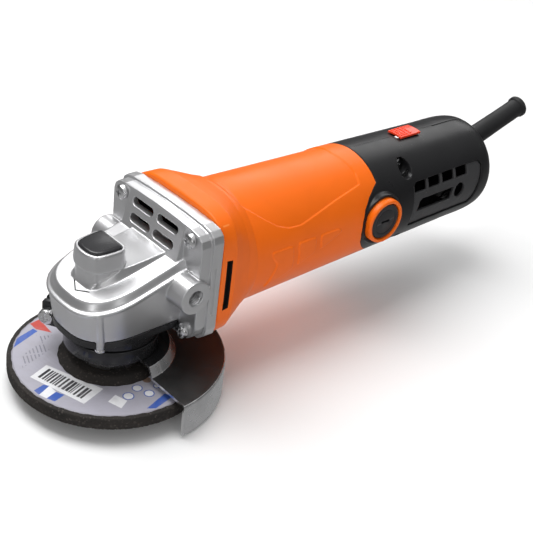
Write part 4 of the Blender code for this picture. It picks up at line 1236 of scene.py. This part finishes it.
def brush_caps():
    ring = [(11.9, CAP_FACE), (12.5, 33.4), (12.8, 28.2), (10.4, 28.2), (10.4, 33.4)]
    ring = rounded([*ring, (10.8, CAP_FACE)], 0.5)
    disc = [
        (0, 33.3), (6.6, 33.3), (7.0, 33.1), (7.4, 33.3), (9.3, 33.35), (9.8, 33.1),
        (CAP_RADIUS, 32.5), (CAP_RADIUS, 26.0), (0, 26.0),
    ]
    slot = stadium(BRUSH_Y - 3.3, BRUSH_Y + 3.3, BRUSH_Z - 0.7, BRUSH_Z + 0.7)
    for side, word in SIDES:
        bezel = turned("bezel", [(r, side * h) for r, h in ring], axis="X", steps=192)
        shift(bezel, (0, BRUSH_Y, BRUSH_Z))
        place(bezel, f"brush_bezel_{word}", ORANGE, 35)
        cap = turned("cap", [(r, side * h) for r, h in disc], axis="X", steps=128)
        shift(cap, (0, BRUSH_Y, BRUSH_Z))
        near, far = side_span(side, 31.8, 40)
        cut(cap, prism("slot", slot, near, far, axis="X"))
        place(cap, f"brush_cap_{word}", DARK_CAP, 35)


# Switch and cord guard ------------------------------------------------------------------------

def arched(name, half, low, high, start, end, count=12):
    """A strip across the top of the round body, curved with it between two heights."""
    rings = []
    for y in (start, end):
        ring = []
        for height, turn in ((low, 1), (high, -1)):
            radius = body_radius(195.0) + height
            for k in range(count + 1):
                x = turn * half * (2 * k / count - 1)
                ring.append((x, y, math.sqrt(radius * radius - x * x)))
        rings.append(ring)
    return loft(name, rings)


def switch_knob():
    rear = KNOB_REAR
    knob = arched("knob", 5.0, 0.55, 1.75, rear - 16.4, rear)
    starts = [rear - 15.4 + 2.5 * k for k in range(4)]
    ribs = [arched("rib", 4.1, 1.4, 2.4, start, start + 1.0) for start in starts]
    join(knob, *ribs, box("stem", (-2.4, rear - 8.8, 24.6), (2.4, rear - 3.4, 30.6)))
    remesh(knob, KNOB_GRAIN, 2)
    place(knob, "switch_knob", RED, body="switch_slider")


def cord_boot():
    length, r = BOOT_LENGTH, BOOT_RADIUS
    profile = [
        (5.6, length), (r + 0.1, length - 0.1), (r + 0.5, length - 0.8), (r + 0.5, length - 2.4),
        (r + 0.1, length - 3.2), (r - 0.4, length - 3.6), (r - 0.35, length - 20), (r, 16.0),
        (r + 0.1, 5.4), (r + 0.6, 4.5), (8.6, 4.4), (9.0, 4.0), (9.0, 1.4), (8.6, 1.0), (4.2, 1.0),
        (4.2, length - 0.6), (4.6, length),
    ]
    boot = turned("boot", profile, steps=96)
    turn = Matrix.Rotation(BOOT_TILT - pi / 2, 4, "X")
    boot.data.transform(Matrix.Translation(BOOT_BASE) @ turn)
    place(boot, "cord_boot", RUBBER, 40)


# Inner pieces and the studio ------------------------------------------------------------------

INNER = (
    (BRASS, "spindle_bush brush_holder_right brush_holder_left"),
    (STEEL, "spindle_bearing_outer_ring spindle_bearing_inner_ring bevel_gear lock_pin"),
    (STEEL_Y, "front_bearing_outer_ring front_bearing_inner_ring rear_bearing_outer_ring"),
    (STEEL_Y, "rear_bearing_inner_ring armature_shaft pinion"),
    (BLACK, "air_baffle fan switch_link"),
    (LAMINATION, "stator_core armature_core"),
    (COPPER, "field_coil_upper field_coil_lower winding_front winding_rear commutator"),
    (CARBON, "carbon_brush_right carbon_brush_left"),
    (GREY, "switch_body"),
)


def inner_pieces():
    for material, names in INNER:
        for name in names.split():
            mesh = NODES[name].data
            mesh.materials.clear()
            mesh.materials.append(material)
            mesh.shade_smooth()
            mesh.set_sharp_from_angle(angle=radians(30))


FLOOR_HALF, FLOOR_Z = 3.0, -0.0006
SKY = ((0.0, 0.46), (0.42, 0.22), (0.52, 0.07), (0.66, 0.20), (0.92, 0.60))
LAMPS = (
    # name, place, size, power, whether it shows in gloss
    ("key", (-0.30, -0.05, 1.00), (0.5, 0.9), 9.5, True),
    ("fill", (0.55, -0.95, 0.45), (0.5, 0.4), 2.2, False),
    ("strip", (0.30, -1.00, 0.30), (0.10, 0.60), 0.9, True),
    ("side_strip", (1.00, -0.20, 0.25), (0.12, 0.50), 0.5, True),
    ("back", (-0.5, 0.8, 0.6), (0.9, 0.4), 2.5, True),
)
LAMP_AIM = Vector((0, 0.08, 0.05))
AZIMUTH, ELEVATION, ROLL = (radians(v) for v in (44.69, 31.29, 7.64))
CAMERA_AT = Vector((0.3686, -0.2721, 0.2902 + AXIS_Z))
FOCAL, SENSOR = 76.98, 36.0


def pale_floor():
    mesh = bpy.data.meshes.new("floor")
    h = FLOOR_HALF
    corners = [(x, y, FLOOR_Z) for x, y in ((-h, -h), (h, -h), (h, h), (-h, h))]
    mesh.from_pydata(corners, [], [(0, 1, 2, 3)])
    skin = Skin("pale_floor")
    colour = skin.mixed(skin.noise(4.0, 3.0), (0.86, 0.86, 0.86), (0.90, 0.90, 0.90))
    mesh.materials.append(skin.finish(colour, None, 0, 0, (), Roughness=0.65))
    ground = linked("floor", mesh)
    ground.visible_glossy = False


def sky():
    """Soft light from all round, darkest near the horizon, so that gloss has something to show."""
    world = bpy.data.worlds.new("studio")
    world.use_nodes = True
    nodes, links = world.node_tree.nodes, world.node_tree.links
    toward = nodes.new("ShaderNodeTexCoord")
    split = nodes.new("ShaderNodeSeparateXYZ")
    height = nodes.new("ShaderNodeMapRange")
    ramp = nodes.new("ShaderNodeValToRGB")
    fill(height, From_Min=-1.0)
    links.new(toward.outputs["Generated"], split.inputs["Vector"])
    links.new(split.outputs["Z"], height.inputs["Value"])
    links.new(height.outputs["Result"], ramp.inputs["Fac"])
    links.new(ramp.outputs["Color"], nodes["Background"].inputs["Color"])
    fill(nodes["Background"], Strength=1.0)
    stops = ramp.color_ramp.elements
    stops[0].position, stops[1].position = SKY[0][0], SKY[-1][0]
    for position, _ in SKY[1:-1]:
        stops.new(position)
    for stop, (_, level) in zip(stops, SKY):
        stop.color = (level, level, level, 1.0)
    bpy.context.scene.world = world


def studio():
    pale_floor()
    sky()
    for name, where, size, power, glossy in LAMPS:
        lamp(name, where, size, power).visible_glossy = glossy
    bpy.context.scene.view_settings.view_transform = "Standard"


def lamp(name, where, size, power):
    light = bpy.data.lights.new(name, "AREA")
    light.shape = "RECTANGLE"
    light.size = size[0]
    light.size_y = size[1]
    light.energy = power
    obj = linked(name, light)
    obj.location = where
    obj.rotation_euler = (LAMP_AIM - obj.location).to_track_quat("-Z", "Y").to_euler()
    return obj


def camera():
    out = cos(ELEVATION)
    back = Vector((sin(AZIMUTH) * out, -cos(AZIMUTH) * out, sin(ELEVATION)))
    level = Vector((cos(AZIMUTH), sin(AZIMUTH), 0))
    above = back.cross(level)
    right = level * cos(ROLL) + above * sin(ROLL)
    up = above * cos(ROLL) - level * sin(ROLL)
    pose = Matrix((right, up, back)).transposed().to_4x4()
    pose.translation = CAMERA_AT
    lens = bpy.data.cameras.new("camera")
    lens.sensor_width = SENSOR
    lens.lens = FOCAL
    obj = linked("camera", lens)
    obj.matrix_world = pose
    bpy.context.scene.camera = obj


BUILDS = (
    gear_case, arrow_mark, lock_button, lock_spring, bearing_cover, case_screws, guard, clamp,
    grinding_wheel, wheel_label, wheel_fittings, motor_housing, cover_screws, brush_caps,
    switch_knob, cord_boot, inner_pieces, rear_covers, studio, camera,
)
for build in BUILDS:
    build()
